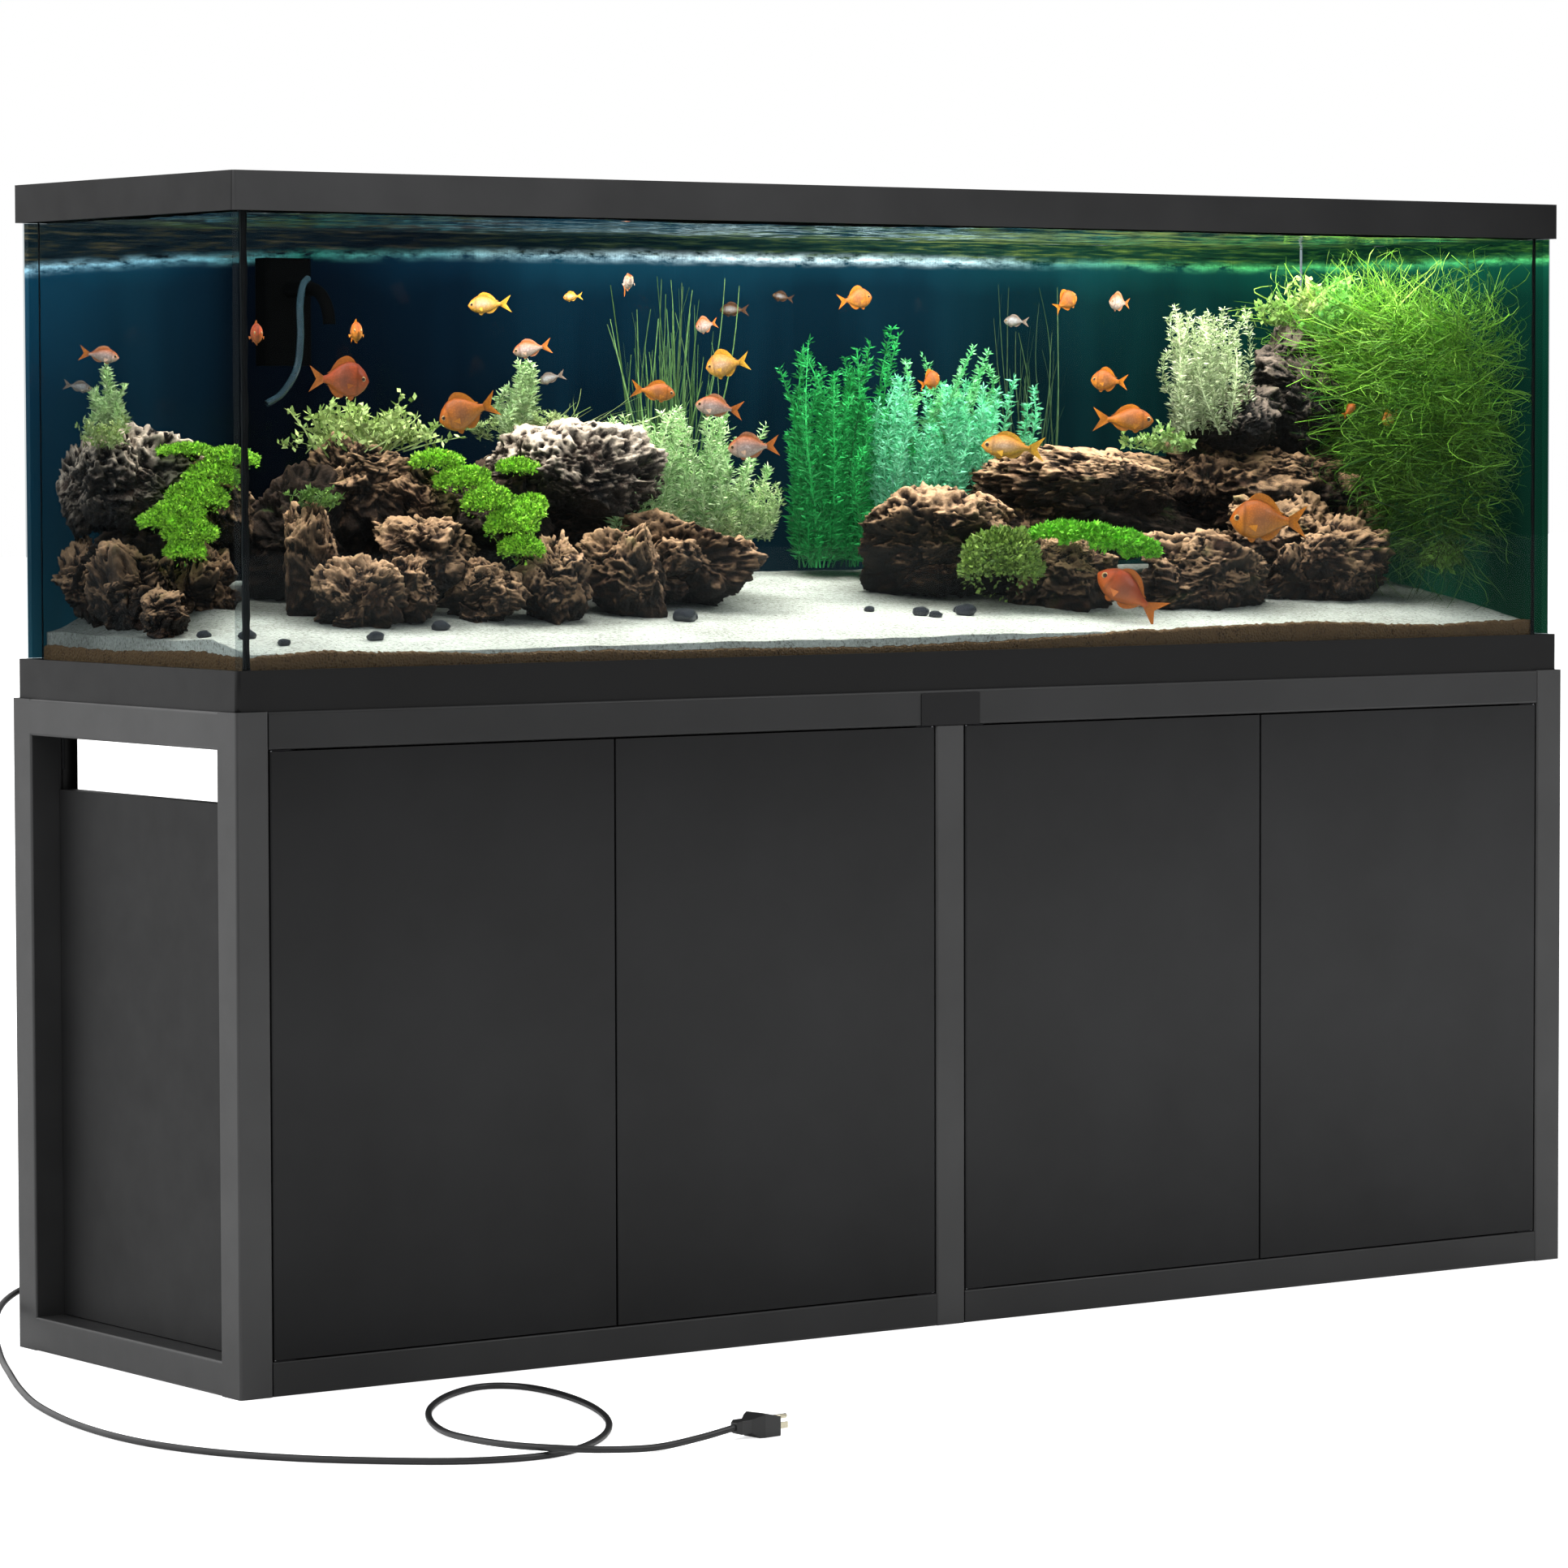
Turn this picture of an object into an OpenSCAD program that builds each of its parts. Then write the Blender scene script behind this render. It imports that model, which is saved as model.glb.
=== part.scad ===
// Long glass aquarium on a square-tube cabinet stand.
// Frame of the model: X along the length, +Z up, the front faces -Y.
// The origin is on the floor, under the middle of the stand.

/* [Stand] */
// Length of the stand
stand_l = 1852; // [1800:1:1900]
// Depth of the stand
stand_d = 480; // [470:1:500]
// Height of the stand
stand_h = 716; // [680:1:760]
// Side of the square tubes
tube = 40; // [38:1:42]
// Height of the bottom rails
low_rail_h = 37; // [36:1:40]
// Wall thickness of the tubes
tube_wall = 2; // [1.5:0.5:3]

/* [Doors and panels] */
// Thickness of the doors
door_t = 18; // [16:1:20]
// Gap between a door and the frame
door_gap = 1.4; // [1.2:0.1:2]
// Gap between the two doors of a bay
door_split = 2; // [1.5:0.5:3]
// Thickness of the side panels
side_panel_t = 18; // [12:1:18]
// How far the side panels sit in from the ends
side_panel_in = 34.5; // [30:0.5:36]
// Height of the open gap above the side panels
side_gap = 60; // [40:1:80]
// Top of the back panels above the floor
back_panel_top = 560; // [400:1:580]

/* [Tank] */
// Height of the glass tank with both of its rims
tank_h = 559.5; // [540:0.5:580]
// Height of the lower rim
base_rim_h = 43; // [38:1:45]
// Height of the upper rim
top_rim_h = 41; // [40:1:45]
// Thickness of the glass
glass_t = 12; // [10:1:12]

/* [Power strip and cord] */
// Length of the power strip
strip_l = 320; // [320:1:360]
// Height of the power strip
strip_h = 42; // [42:1:44]
// Diameter of the mains cord
cord_d = 7; // [6:0.5:7]

/* [Hidden] */
$fn = 48;
half_l = stand_l / 2;
half_d = stand_d / 2;
inner_l = half_l - tube;
inner_d = half_d - tube;
post_half = tube / 2;
rail_z = stand_h - tube;
skin = 0.5;

bay_l = inner_l - post_half;
door_w = (bay_l - 2 * door_gap - door_split) / 2;
door_h = rail_z - low_rail_h - 2 * door_gap;
door_y = -half_d + skin;
pivot_in = 2.5;
pin_r = 1.3;
pin_fit = 0.05;
leaf = [26, 11, 2];
leaf_in = 0.6;

rim_in = 4.5;
rim_l = half_l - rim_in;
rim_d = half_d - rim_in;
glass_l = half_l - 13;
glass_d = half_d - 9.5;
glass_z = stand_h + 9;
top_rim_z = stand_h + tank_h - top_rim_h;
flange_z = top_rim_z + 28;
flange_t = 5.5;
seat_z = flange_z + flange_t;
tank_top = stand_h + tank_h;
floor_z = glass_z + glass_t;
inside_l = glass_l - glass_t - skin;
inside_d = glass_d - glass_t - skin;
lid_t = 5;
lid_axis_y = inner_d - 10;
lid_axis_z = seat_z + 0.3 + lid_t / 2;
lid_rod_r = 2.5;
lid_rear = lid_axis_y + 13;

strip_x = -560;
strip_z = rail_z - 7;
strip_d = 32;
strip_back = inner_d - 8;
strip_front = strip_back - strip_d;
outlet = 26.4;
outlet_pitch = 30;
outlet_x = 23.2;
switch_x = 282.8;
rocker_r = 9;
rocker_tilt = 8;

gland_x = -845;
gland_z = 62;
gland_end = half_d + 6;
lead_y = strip_front + 12;
lead_x = strip_x + 15;
lead_bend = 28;
sand_front_z = 772;
sand_back_z = 840;

// Points that the free cord passes through, from its gland to its plug
CORD = [
    [-845, 246, 62], [-845, 264, 62], [-850, 280, 61], [-863, 291, 60],
    [-882, 294, 57], [-905, 287, 52], [-930, 270, 44], [-952, 244, 33],
    [-972, 208, 19], [-990, 166, 8], [-1008, 124, 3.6], [-1035, 62, 3.6],
    [-1082, -50, 3.6], [-1122, -165, 3.6], [-1148, -295, 3.6],
    [-1150, -415, 3.6], [-1124, -515, 3.6], [-1074, -600, 3.6],
    [-1010, -667, 3.6], [-950, -712, 3.6], [-885, -731, 3.6],
    [-826, -718, 3.6], [-762, -670, 3.6], [-706, -598, 3.6],
    [-666, -510, 3.6], [-646, -420, 3.6], [-650, -352, 3.6],
    [-684, -326, 3.6], [-742, -354, 3.6], [-802, -413, 3.6],
    [-846, -482, 3.6], [-878, -562, 5], [-892, -640, 9],
    [-887, -700, 11.2], [-862, -740, 11.2], [-820, -758, 8],
    [-760, -760, 4.5], [-700, -751, 7], [-655, -746, 12]
];
cord_sides = 8;
cord_rings_per_span = 2;
plug_at = CORD[len(CORD) - 1];
plug_turn = 6;

// ---------- shapes that repeat ----------

// A square with round corners, centred
module round_rect(w, h, r) {
    square([w - 2 * r, h], center = true);
    square([w, h - 2 * r], center = true);
    for (x = [-1, 1], y = [-1, 1])
        translate([x * (w / 2 - r), y * (h / 2 - r)]) circle(r);
}

// A box given by its low and high corners
module block(low, high) {
    translate(low) cube(high - low);
}

// A square-cornered plate with round upright edges, given by its corners
module upright(low, high, r) {
    size = high - low;
    translate([(low.x + high.x) / 2, (low.y + high.y) / 2, low.z])
        linear_extrude(size.z) round_rect(size.x, size.y, r);
}

edge_r = 3;

// A hollow tube along X from x = a to x = b, centred on y and z
module tube_x(a, b, y, z, h) {
    translate([a, y, z]) rotate([90, 0, 90]) linear_extrude(b - a) difference() {
        round_rect(tube, h, edge_r);
        square([tube - 2 * tube_wall, h - 2 * tube_wall], center = true);
    }
}

// A hollow upright post from the floor to height h
module post(x, y, h) {
    translate([x, y, 0]) linear_extrude(h) difference() {
        round_rect(tube, tube, edge_r);
        square(tube - 2 * tube_wall, center = true);
    }
}

// A solid bar with round edges along Y
module bar_y(x, z, h, reach) {
    translate([x, reach, z]) rotate([90, 0, 0]) linear_extrude(2 * reach)
        round_rect(tube, h, edge_r);
}

// ---------- frame ----------

// One end: two posts with a rail welded between them at the top and bottom
module end_frame(side) {
    x = side * (half_l - post_half);
    bore = tube - 2 * tube_wall;
    low_bore = low_rail_h - 2 * tube_wall;
    color("#26282b") difference() {
        union() {
            for (y = [-1, 1])
                translate([x, y * (half_d - post_half), 0])
                    linear_extrude(stand_h) round_rect(tube, tube, edge_r);
            bar_y(x, stand_h - post_half, tube, inner_d + edge_r);
            bar_y(x, low_rail_h / 2, low_rail_h, inner_d + edge_r);
        }
        for (y = [-1, 1])
            translate([x, y * (half_d - post_half), stand_h / 2])
                cube([bore, bore, stand_h + 2], center = true);
        translate([x, 0, stand_h - post_half])
            cube([bore, stand_d - tube, bore], center = true);
        translate([x, 0, low_rail_h / 2])
            cube([bore, stand_d - tube, low_bore], center = true);
    }
}
module end_frame_left() { end_frame(-1); }
module end_frame_right() { end_frame(1); }

module top_rail(side) {
    color("#2b2d30")
        tube_x(-inner_l, inner_l, side * (half_d - post_half), stand_h - post_half, tube);
}
module front_top_rail() { top_rail(-1); }
module rear_top_rail() { top_rail(1); }

module bottom_rails(side) {
    y = side * (half_d - post_half);
    color("#2b2d30") {
        tube_x(-inner_l, -post_half, y, low_rail_h / 2, low_rail_h);
        tube_x(post_half, inner_l, y, low_rail_h / 2, low_rail_h);
    }
}
module front_bottom_rails() { bottom_rails(-1); }
module rear_bottom_rails() { bottom_rails(1); }

module centre_post_front() {
    color("#2b2d30") post(0, -half_d + post_half, rail_z);
}
module centre_post_rear() {
    color("#2b2d30") post(0, half_d - post_half, rail_z);
}

// Two tubes that tie the front of the frame to its rear, at mid length
module cross_braces() {
    color("#2b2d30") for (z = [low_rail_h / 2, stand_h - post_half])
        translate([0, inner_d, z]) rotate([90, 0, 0]) linear_extrude(2 * inner_d)
            difference() {
                h = z < rail_z ? low_rail_h : tube;
                round_rect(tube, h, edge_r);
                square([tube - 2 * tube_wall, h - 2 * tube_wall], center = true);
            }
}

bracket = [38, 18, 3];
screw_r = 3;

// Angle brackets that bolt the long rails to the posts, inside the corners
module corner_brackets() {
    color("#1d1e20") for (sx = [-1, 1], sy = [-1, 1], top = [0, 1])
        mirror([sx < 0 ? 1 : 0, 0, 0]) mirror([0, sy < 0 ? 1 : 0, 0])
            bracket_at(top) difference() {
                union() {
                    block([0, 0, 0], [bracket.z, bracket.y, bracket.x]);
                    block([0, 0, 0], [bracket.x, bracket.y, bracket.z]);
                }
                translate([-1, bracket.y / 2, bracket.x - 11])
                    rotate([0, 90, 0]) cylinder(h = bracket.z + 2, r = screw_r + 0.3);
                translate([bracket.x - 11, bracket.y / 2, -1])
                    cylinder(h = bracket.z + 2, r = screw_r + 0.3);
            }
}

// Places an angle bracket under the top rail or on the bottom rail
module bracket_at(top) {
    y = inner_d + 1;
    if (top == 1)
        translate([inner_l, y, rail_z]) mirror([0, 0, 1]) mirror([1, 0, 0]) children();
    else
        translate([inner_l, y, low_rail_h]) mirror([1, 0, 0]) children();
}

module bracket_screws() {
    color("#55585c") for (sx = [-1, 1], sy = [-1, 1], top = [0, 1])
        mirror([sx < 0 ? 1 : 0, 0, 0]) mirror([0, sy < 0 ? 1 : 0, 0])
            bracket_at(top) {
                translate([bracket.z, bracket.y / 2, bracket.x - 11])
                    rotate([0, 90, 0]) cylinder(h = 2.4, r = 5);
                translate([bracket.x - 11, bracket.y / 2, bracket.z])
                    cylinder(h = 2.4, r = 5);
            }
}

// ---------- panels ----------

panel_z = low_rail_h + 1;
side_panel_top = rail_z - side_gap;

module side_panel(side) {
    outer = half_l - side_panel_in;
    color("#2a2c2f") mirror([side < 0 ? 1 : 0, 0, 0])
        upright([outer - side_panel_t, -inner_d + skin, panel_z],
                [outer, inner_d - skin, side_panel_top], 1.5);
}
module side_panel_left() { side_panel(-1); }
module side_panel_right() { side_panel(1); }

// Upright cleats that the back panels are screwed to, beside the rear posts
cleat_w = 16;
module panel_cleats() {
    color("#17181a") for (s = [-1, 1]) mirror([s < 0 ? 1 : 0, 0, 0])
        upright([inner_l - cleat_w, inner_d, low_rail_h + 3.5 + bracket.x],
                [inner_l, inner_d + 7, back_panel_top], 1);
}

back_y = inner_d + 9;
back_t = 12;
module back_panels() {
    color("#232527") for (s = [-1, 1]) mirror([s < 0 ? 1 : 0, 0, 0]) difference() {
        block([post_half + 1, back_y, low_rail_h + 1],
              [inner_l - bracket.x - 2, back_y + back_t, back_panel_top]);
        if (s < 0) translate([-gland_x, back_y - 1, gland_z]) rotate([-90, 0, 0])
            cylinder(h = back_t + 2, r = 8.1);
    }
}

module floor_panels() {
    color("#1f2123") for (s = [-1, 1]) mirror([s < 0 ? 1 : 0, 0, 0])
        block([post_half + 1, -inner_d + 1, low_rail_h - 13],
              [inner_l - 1, inner_d - 1, low_rail_h - 1]);
}

badge = [82, 2, 36];
module badge_plate() {
    color("#34363a") translate([0, -half_d, rail_z + badge.z / 2 + 0.5])
        rotate([90, 0, 0]) linear_extrude(badge.y - 1) round_rect(badge.x, badge.z, 2);
}

// ---------- doors ----------

// Doors are numbered from the left. Odd ones hinge on their left edge.
function hinge_left(i) = i == 1 || i == 3;
function door_edge(i) =
    i == 1 ? -inner_l + door_gap :
    i == 2 ? -post_half - door_gap :
    i == 3 ? post_half + door_gap : inner_l - door_gap;
door_low = low_rail_h + door_gap;

// Puts a part drawn for a left-hinged door with its edge at x = 0 in its place
module at_door(i) {
    translate([door_edge(i), 0, 0]) mirror([hinge_left(i) ? 0 : 1, 0, 0]) children();
}

// Repeats a hinge part drawn at the bottom edge at the top edge as well
module both_ends() {
    children();
    translate([0, 0, 2 * door_low + door_h]) mirror([0, 0, 1]) children();
}

pivot = [pivot_in, door_y + pivot_in];

module door(i) {
    color("#2d2d2d") at_door(i) difference() {
        translate([0, door_y, door_low]) linear_extrude(door_h) door_plan();
        both_ends() {
            translate([0, 0, door_low - 1]) linear_extrude(leaf.z + 1) leaf_plan();
            translate([pivot.x, pivot.y, door_low - 1])
                cylinder(h = 15, r = pin_r + 0.25);
        }
    }
}

// The door seen from above: its hinge corner is round about the pivot
module door_plan() {
    r = 1;
    translate([pivot_in, pivot_in]) circle(pivot_in);
    translate([0, pivot_in]) square([pivot_in, door_t - pivot_in]);
    translate([pivot_in, 0]) square([door_w - pivot_in - r, door_t]);
    translate([door_w - r, r]) square([r, door_t - 2 * r]);
    for (y = [r, door_t - r]) translate([door_w - r, y]) circle(r);
}

// A hinge leaf seen from above, round at its corner about the pivot
module leaf_plan() {
    r = pivot_in - leaf_in;
    translate(pivot) circle(r);
    translate([pivot.x, pivot.y - r]) square([leaf.x - pivot.x, leaf.y]);
    translate([pivot.x - r, pivot.y]) square([r, leaf.y - r]);
}

strike_w = 24;
strike_h = 20;
strike_t = 1;

// The small plated fittings of one door: two hinge leaves and a strike plate
module door_fittings(i) {
    color("#9a9da0") at_door(i) {
        both_ends() difference() {
            translate([0, 0, door_low]) linear_extrude(leaf.z) leaf_plan();
            translate([pivot.x, pivot.y, door_low - 1])
                cylinder(h = leaf.z + 2, r = pin_r + pin_fit);
        }
        translate([latch_in - strike_w / 2, door_y + door_t, rail_z - 28])
            cube([strike_w, strike_t, strike_h]);
    }
}

latch_in = door_w - 24;

// Fixed hinge leaves on the rails
module hinge_leaves() {
    t = 0.8;
    color("#9a9da0") for (i = [1:4]) at_door(i) both_ends() difference() {
        translate([0, 0, low_rail_h]) linear_extrude(t) leaf_plan();
        translate([pivot.x, pivot.y, low_rail_h - 1]) cylinder(h = t + 2, r = pin_r);
    }
}

module hinge_pins() {
    color("#c0c3c6") for (i = [1:4]) at_door(i) both_ends()
        translate([pivot.x, pivot.y, low_rail_h]) cylinder(h = 12, r = pin_r);
}

// Push latches hang under the front top rail, behind the free edge of each door
latch_y = door_y + door_t + strike_t + 0.5;
latch_z = rail_z - 18;
latch_size = [18, 46, 16];
plunger_r = 4;
plunger_out = 6;
module latch_housings() {
    color("#3a3c3f") for (i = [1:4]) at_door(i) difference() {
        union() {
            block([latch_in - latch_size.x / 2, latch_y + plunger_out, latch_z - latch_size.z / 2],
                  [latch_in + latch_size.x / 2, latch_y + plunger_out + latch_size.y, rail_z - 2]);
            block([latch_in - 14, latch_y + plunger_out, rail_z - 2],
                  [latch_in + 14, -inner_d, rail_z]);
        }
        translate([latch_in, latch_y - 1, latch_z]) rotate([-90, 0, 0])
            cylinder(h = plunger_out + 31, r = plunger_r + 0.1);
    }
}
module latch_plunger(i) {
    color("#8c8f92") at_door(i) translate([latch_in, latch_y, latch_z])
        rotate([-90, 0, 0]) cylinder(h = plunger_out + 24, r = plunger_r);
}
module door_1() { door(1); }
module door_2() { door(2); }
module door_3() { door(3); }
module door_4() { door(4); }
module door_fittings_1() { door_fittings(1); }
module door_fittings_2() { door_fittings(2); }
module door_fittings_3() { door_fittings(3); }
module door_fittings_4() { door_fittings(4); }
module latch_plunger_1() { latch_plunger(1); }
module latch_plunger_2() { latch_plunger(2); }
module latch_plunger_3() { latch_plunger(3); }
module latch_plunger_4() { latch_plunger(4); }

// ---------- power strip ----------

function outlet_mid(i) = strip_x + outlet_x + outlet / 2 + i * outlet_pitch;
strip_mid = strip_z + strip_h / 2;
bezel = [15.2, 31.8];
rocker = [11, 22];

// Draws a flat outline in the X-Z plane and pushes it back along +Y
module from_front(y, depth) {
    translate([0, y + depth, 0]) rotate([90, 0, 0]) linear_extrude(depth) children();
}

module strip_housing() {
    color("#2e3133") difference() {
        translate([strip_x + strip_l / 2, 0, strip_mid]) from_front(strip_front, strip_d)
            round_rect(strip_l, strip_h, 4);
        for (i = [0:7]) translate([outlet_mid(i), 0, strip_mid])
            from_front(strip_front - 1, 19) square(outlet, center = true);
        translate([strip_x + switch_x, 0, strip_mid])
            from_front(strip_front - 1, 25) square([bezel.x - 2, bezel.y - 2], center = true);
        block([strip_x + 3, strip_front + 18.5, strip_z + 3],
              [strip_x + strip_l - 3, strip_back + 1, strip_z + strip_h - 3]);
    }
}

// Eight three-slot outlet faces
module strip_outlets() {
    color("#55595c") for (i = [0:7]) translate([outlet_mid(i), 0, strip_mid])
        difference() {
            from_front(strip_front + 0.2, 17) square(outlet - 0.4, center = true);
            for (s = [-1, 1]) translate([s * 6.35, 0, -5])
                from_front(strip_front - 1, 14) square([3.2, s < 0 ? 8.6 : 10], center = true);
            translate([0, 0, 7]) from_front(strip_front - 1, 14) {
                circle(3.1);
                translate([-3.1, 0]) square([6.2, 3.2]);
            }
        }
}

module rocker_bezel() {
    color("#24262a") translate([strip_x + switch_x, 0, strip_mid]) difference() {
        union() {
            from_front(strip_front - 1.2, 1.2) round_rect(bezel.x, bezel.y, 1);
            from_front(strip_front, 17) square([bezel.x - 2.2, bezel.y - 2.2], center = true);
        }
        from_front(strip_front - 2, 16) square([rocker.x, rocker.y + 1.2], center = true);
    }
}

// The rocker turns about a level axis, and rests with its top half pressed in
rocker_axis_y = strip_front + 6;
module rocker_switch() {
    color("#a01018") translate([strip_x + switch_x - rocker.x / 2 + 0.3, rocker_axis_y, strip_mid])
        rotate([-rocker_tilt, 0, 0]) rotate([90, 0, 90])
            linear_extrude(rocker.x - 0.6) intersection() {
                circle(rocker.y / 2 - 0.2);
                translate([-rocker_r, -rocker.y / 2]) square([rocker_r + 4, rocker.y]);
            }
}

module strip_brackets() {
    color("#1d1e20") for (x = [strip_x + 12, strip_x + strip_l - 24])
        block([x, strip_back, strip_z + 12], [x + 12, inner_d, strip_z + strip_h - 6]);
}

// The strip's own lead, clipped along the inside of the back to the gland
module strip_lead() {
    r = cord_d / 2;
    turn_z = gland_z + lead_bend;
    color("#141415") {
        translate([lead_x, lead_y, turn_z]) cylinder(h = strip_z - turn_z, r = r);
        translate([lead_x - lead_bend, lead_y, turn_z]) rotate([90, 0, 0])
            rotate([0, 0, -90]) rotate_extrude(angle = 90) translate([lead_bend, 0]) circle(r);
        translate([lead_x - lead_bend, lead_y, gland_z]) rotate([0, -90, 0])
            cylinder(h = lead_x - 2 * lead_bend - gland_x, r = r);
        translate([gland_x + lead_bend, lead_y + lead_bend, gland_z])
            rotate([0, 0, 180]) rotate_extrude(angle = 90) translate([lead_bend, 0]) circle(r);
    }
}

module cord_gland() {
    start = lead_y + lead_bend;
    color("#141415") translate([gland_x, start, gland_z]) rotate([-90, 0, 0])
        rotate_extrude() polygon([
            [0, 0], [11, 0], [11, back_y - start], [8, back_y - start],
            [8, back_y + back_t - start], [11, back_y + back_t - start],
            [11, back_y + back_t - start + 5], [8, back_y + back_t - start + 7],
            [5, gland_end - start], [0, gland_end - start]]);
}

// ---------- free cord and plug ----------

// A point at t between b and c on a smooth curve through a, b, c and d
function smooth(a, b, c, d, t) =
    0.5 * (2 * b + (c - a) * t + (2 * a - 5 * b + 4 * c - d) * t * t
           + (3 * b - a - 3 * c + d) * t * t * t);
function cord_point(i) = CORD[min(max(i, 0), len(CORD) - 1)];
CORD_PATH = concat(
    [for (i = [0 : len(CORD) - 2], k = [0 : cord_rings_per_span - 1])
        smooth(cord_point(i - 1), cord_point(i), cord_point(i + 1), cord_point(i + 2),
               k / cord_rings_per_span)],
    [plug_at]);
function along(p, i) =
    let (v = p[min(i + 1, len(p) - 1)] - p[max(i - 1, 0)]) v / norm(v);

module power_cord() {
    n = len(CORD_PATH);
    r = cord_d / 2;
    rings = [for (i = [0 : n - 1])
        let (t = i == 0 ? [0, 1, 0] : i == n - 1 ? [cos(plug_turn), sin(plug_turn), 0]
                 : along(CORD_PATH, i),
             side = cross([0, 0, 1], t) / norm(cross([0, 0, 1], t)), up = cross(t, side))
        for (k = [0 : cord_sides - 1])
            CORD_PATH[i] + r * (cos((k + 0.5) * 360 / cord_sides) * side
                                + sin((k + 0.5) * 360 / cord_sides) * up)];
    walls = [for (i = [0 : n - 2], k = [0 : cord_sides - 1])
        let (a = i * cord_sides + k, b = i * cord_sides + (k + 1) % cord_sides)
        each [[a, b, b + cord_sides], [a, b + cord_sides, a + cord_sides]]];
    first = [for (k = [cord_sides - 1 : -1 : 0]) k];
    last = [for (k = [0 : cord_sides - 1]) (n - 1) * cord_sides + k];
    color("#141415") polyhedron(rings, concat(walls, [first, last]));
}

module at_plug() {
    translate(plug_at) rotate([0, 0, plug_turn]) children();
}
plug_l = 50;
plug_w = 30;
plug_h = 24;

// The plug: a faceted block with a stepped neck towards the cord
module plug_body() {
    color("#1b1b1d") at_plug() intersection() {
        translate([0, 0, -plug_h / 2]) linear_extrude(plug_h) polygon([
            [0, -5], [5, -8], [17, -8], [24, -plug_w / 2 + 2], [29, -plug_w / 2],
            [plug_l, -plug_w / 2], [plug_l, plug_w / 2], [29, plug_w / 2],
            [24, plug_w / 2 - 2], [17, 8], [5, 8], [0, 5]]);
        translate([0, plug_w, 0]) rotate([90, 0, 0]) linear_extrude(2 * plug_w) polygon([
            [0, -5], [5, -7], [17, -7], [24, -plug_h / 2 + 0.2], [plug_l, -plug_h / 2 + 0.2],
            [plug_l, plug_h / 2 - 4], [29, plug_h / 2], [24, plug_h / 2 - 2], [17, 7], [5, 7], [0, 5]]);
    }
}
module plug_pins() {
    color("#c9c5b4") at_plug() {
        for (s = [-1, 1]) block([plug_l, s * 6.35 - 0.75, -6.2], [plug_l + 16, s * 6.35 + 0.75, 0.2]);
        translate([plug_l, 0, 5]) rotate([0, 90, 0]) cylinder(h = 19, r = 2.4);
    }
}

// ---------- tank ----------

// A ring of a rim: a rounded outline
module rim_outline() { round_rect(2 * rim_l, 2 * rim_d, 5); }

module tank_base_rim() {
    color("#1c1d1f") difference() {
        translate([0, 0, stand_h]) linear_extrude(base_rim_h) rim_outline();
        translate([0, 0, glass_z]) linear_extrude(base_rim_h)
            square([2 * glass_l + 1, 2 * glass_d + 1], center = true);
        translate([0, 0, stand_h - 1]) linear_extrude(base_rim_h)
            square([2 * glass_l - 64, 2 * glass_d - 64], center = true);
    }
}

// Front and back panes run the full length, and the side panes fit between them
module pane_y(side) {
    outer = side * glass_d;
    color("#cfe6e2", 0.3) block(
        [-glass_l, min(outer, outer - side * glass_t), glass_z],
        [glass_l, max(outer, outer - side * glass_t), flange_z - skin]);
}
module pane_x(side) {
    outer = side * glass_l;
    color("#cfe6e2", 0.3) block(
        [min(outer, outer - side * glass_t), -glass_d + glass_t + skin, glass_z],
        [max(outer, outer - side * glass_t), glass_d - glass_t - skin, flange_z - skin]);
}
module glass_front() { pane_y(-1); }
module glass_back() { pane_y(1); }
module glass_left() { pane_x(-1); }
module glass_right() { pane_x(1); }
module glass_bottom() {
    color("#cfe6e2", 0.3) block([-inside_l, -inside_d, glass_z], [inside_l, inside_d, floor_z]);
}

// The upper rim clips over the glass, and carries the lids and a middle brace
mouth_l = glass_l - 33;
mouth_front = -glass_d + 32;
mouth_rear = inner_d + 2;
brace_half = 12;
rod_start = 4;
rod_end = mouth_l + 24;
bearing_in = 14;
bearing_out = mouth_l + 13;
module tank_top_rim() {
    color("#1c1d1f") difference() {
        union() {
            difference() {
                translate([0, 0, top_rim_z]) linear_extrude(top_rim_h) rim_outline();
                block([-glass_l + 1, -glass_d + 4, seat_z], [glass_l - 1, lid_rear, tank_top + 1]);
            }
            block([-bearing_in, lid_axis_y - 6, seat_z - 1], [bearing_in, lid_rear + 1, tank_top]);
            for (s = [-1, 1]) mirror([s < 0 ? 1 : 0, 0, 0])
                block([bearing_out, lid_axis_y - 6, seat_z - 1],
                      [glass_l, lid_rear + 1, tank_top]);
        }
        translate([0, 0, top_rim_z - 1]) linear_extrude(flange_z - top_rim_z + 1)
            square([2 * glass_l + 1, 2 * glass_d + 1], center = true);
        for (s = [-1, 1]) mirror([s < 0 ? 1 : 0, 0, 0])
            block([brace_half, mouth_front, flange_z - 1], [mouth_l, mouth_rear, seat_z + 1]);
        lid_rods();
    }
}

// Each lid swings up about a rod near the back
module lid(side) {
    low = 1;
    high = glass_l - 2;
    corner = lid_axis_y - 8;
    color("#232426") mirror([side < 0 ? 1 : 0, 0, 0]) difference() {
        union() {
            block([low, -glass_d + 5, seat_z + 0.3], [high, corner, seat_z + 0.3 + lid_t]);
            block([bearing_in + 2, corner - 1, seat_z + 0.3],
                  [bearing_out - 2, lid_axis_y - 3.2, seat_z + 0.3 + lid_t]);
            for (x = [60, 420, 780]) translate([x, lid_axis_y, lid_axis_z])
                rotate([0, 90, 0]) cylinder(h = 40, r = 4.6);
            block([high / 2 - 60, -glass_d + 9, seat_z + lid_t],
                  [high / 2 + 60, -glass_d + 15, seat_z + lid_t + 2]);
        }
        translate([0, lid_axis_y, lid_axis_z]) rotate([0, 90, 0])
            cylinder(h = glass_l, r = lid_rod_r + pin_fit);
    }
}
module lid_left() { lid(-1); }
module lid_right() { lid(1); }

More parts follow.
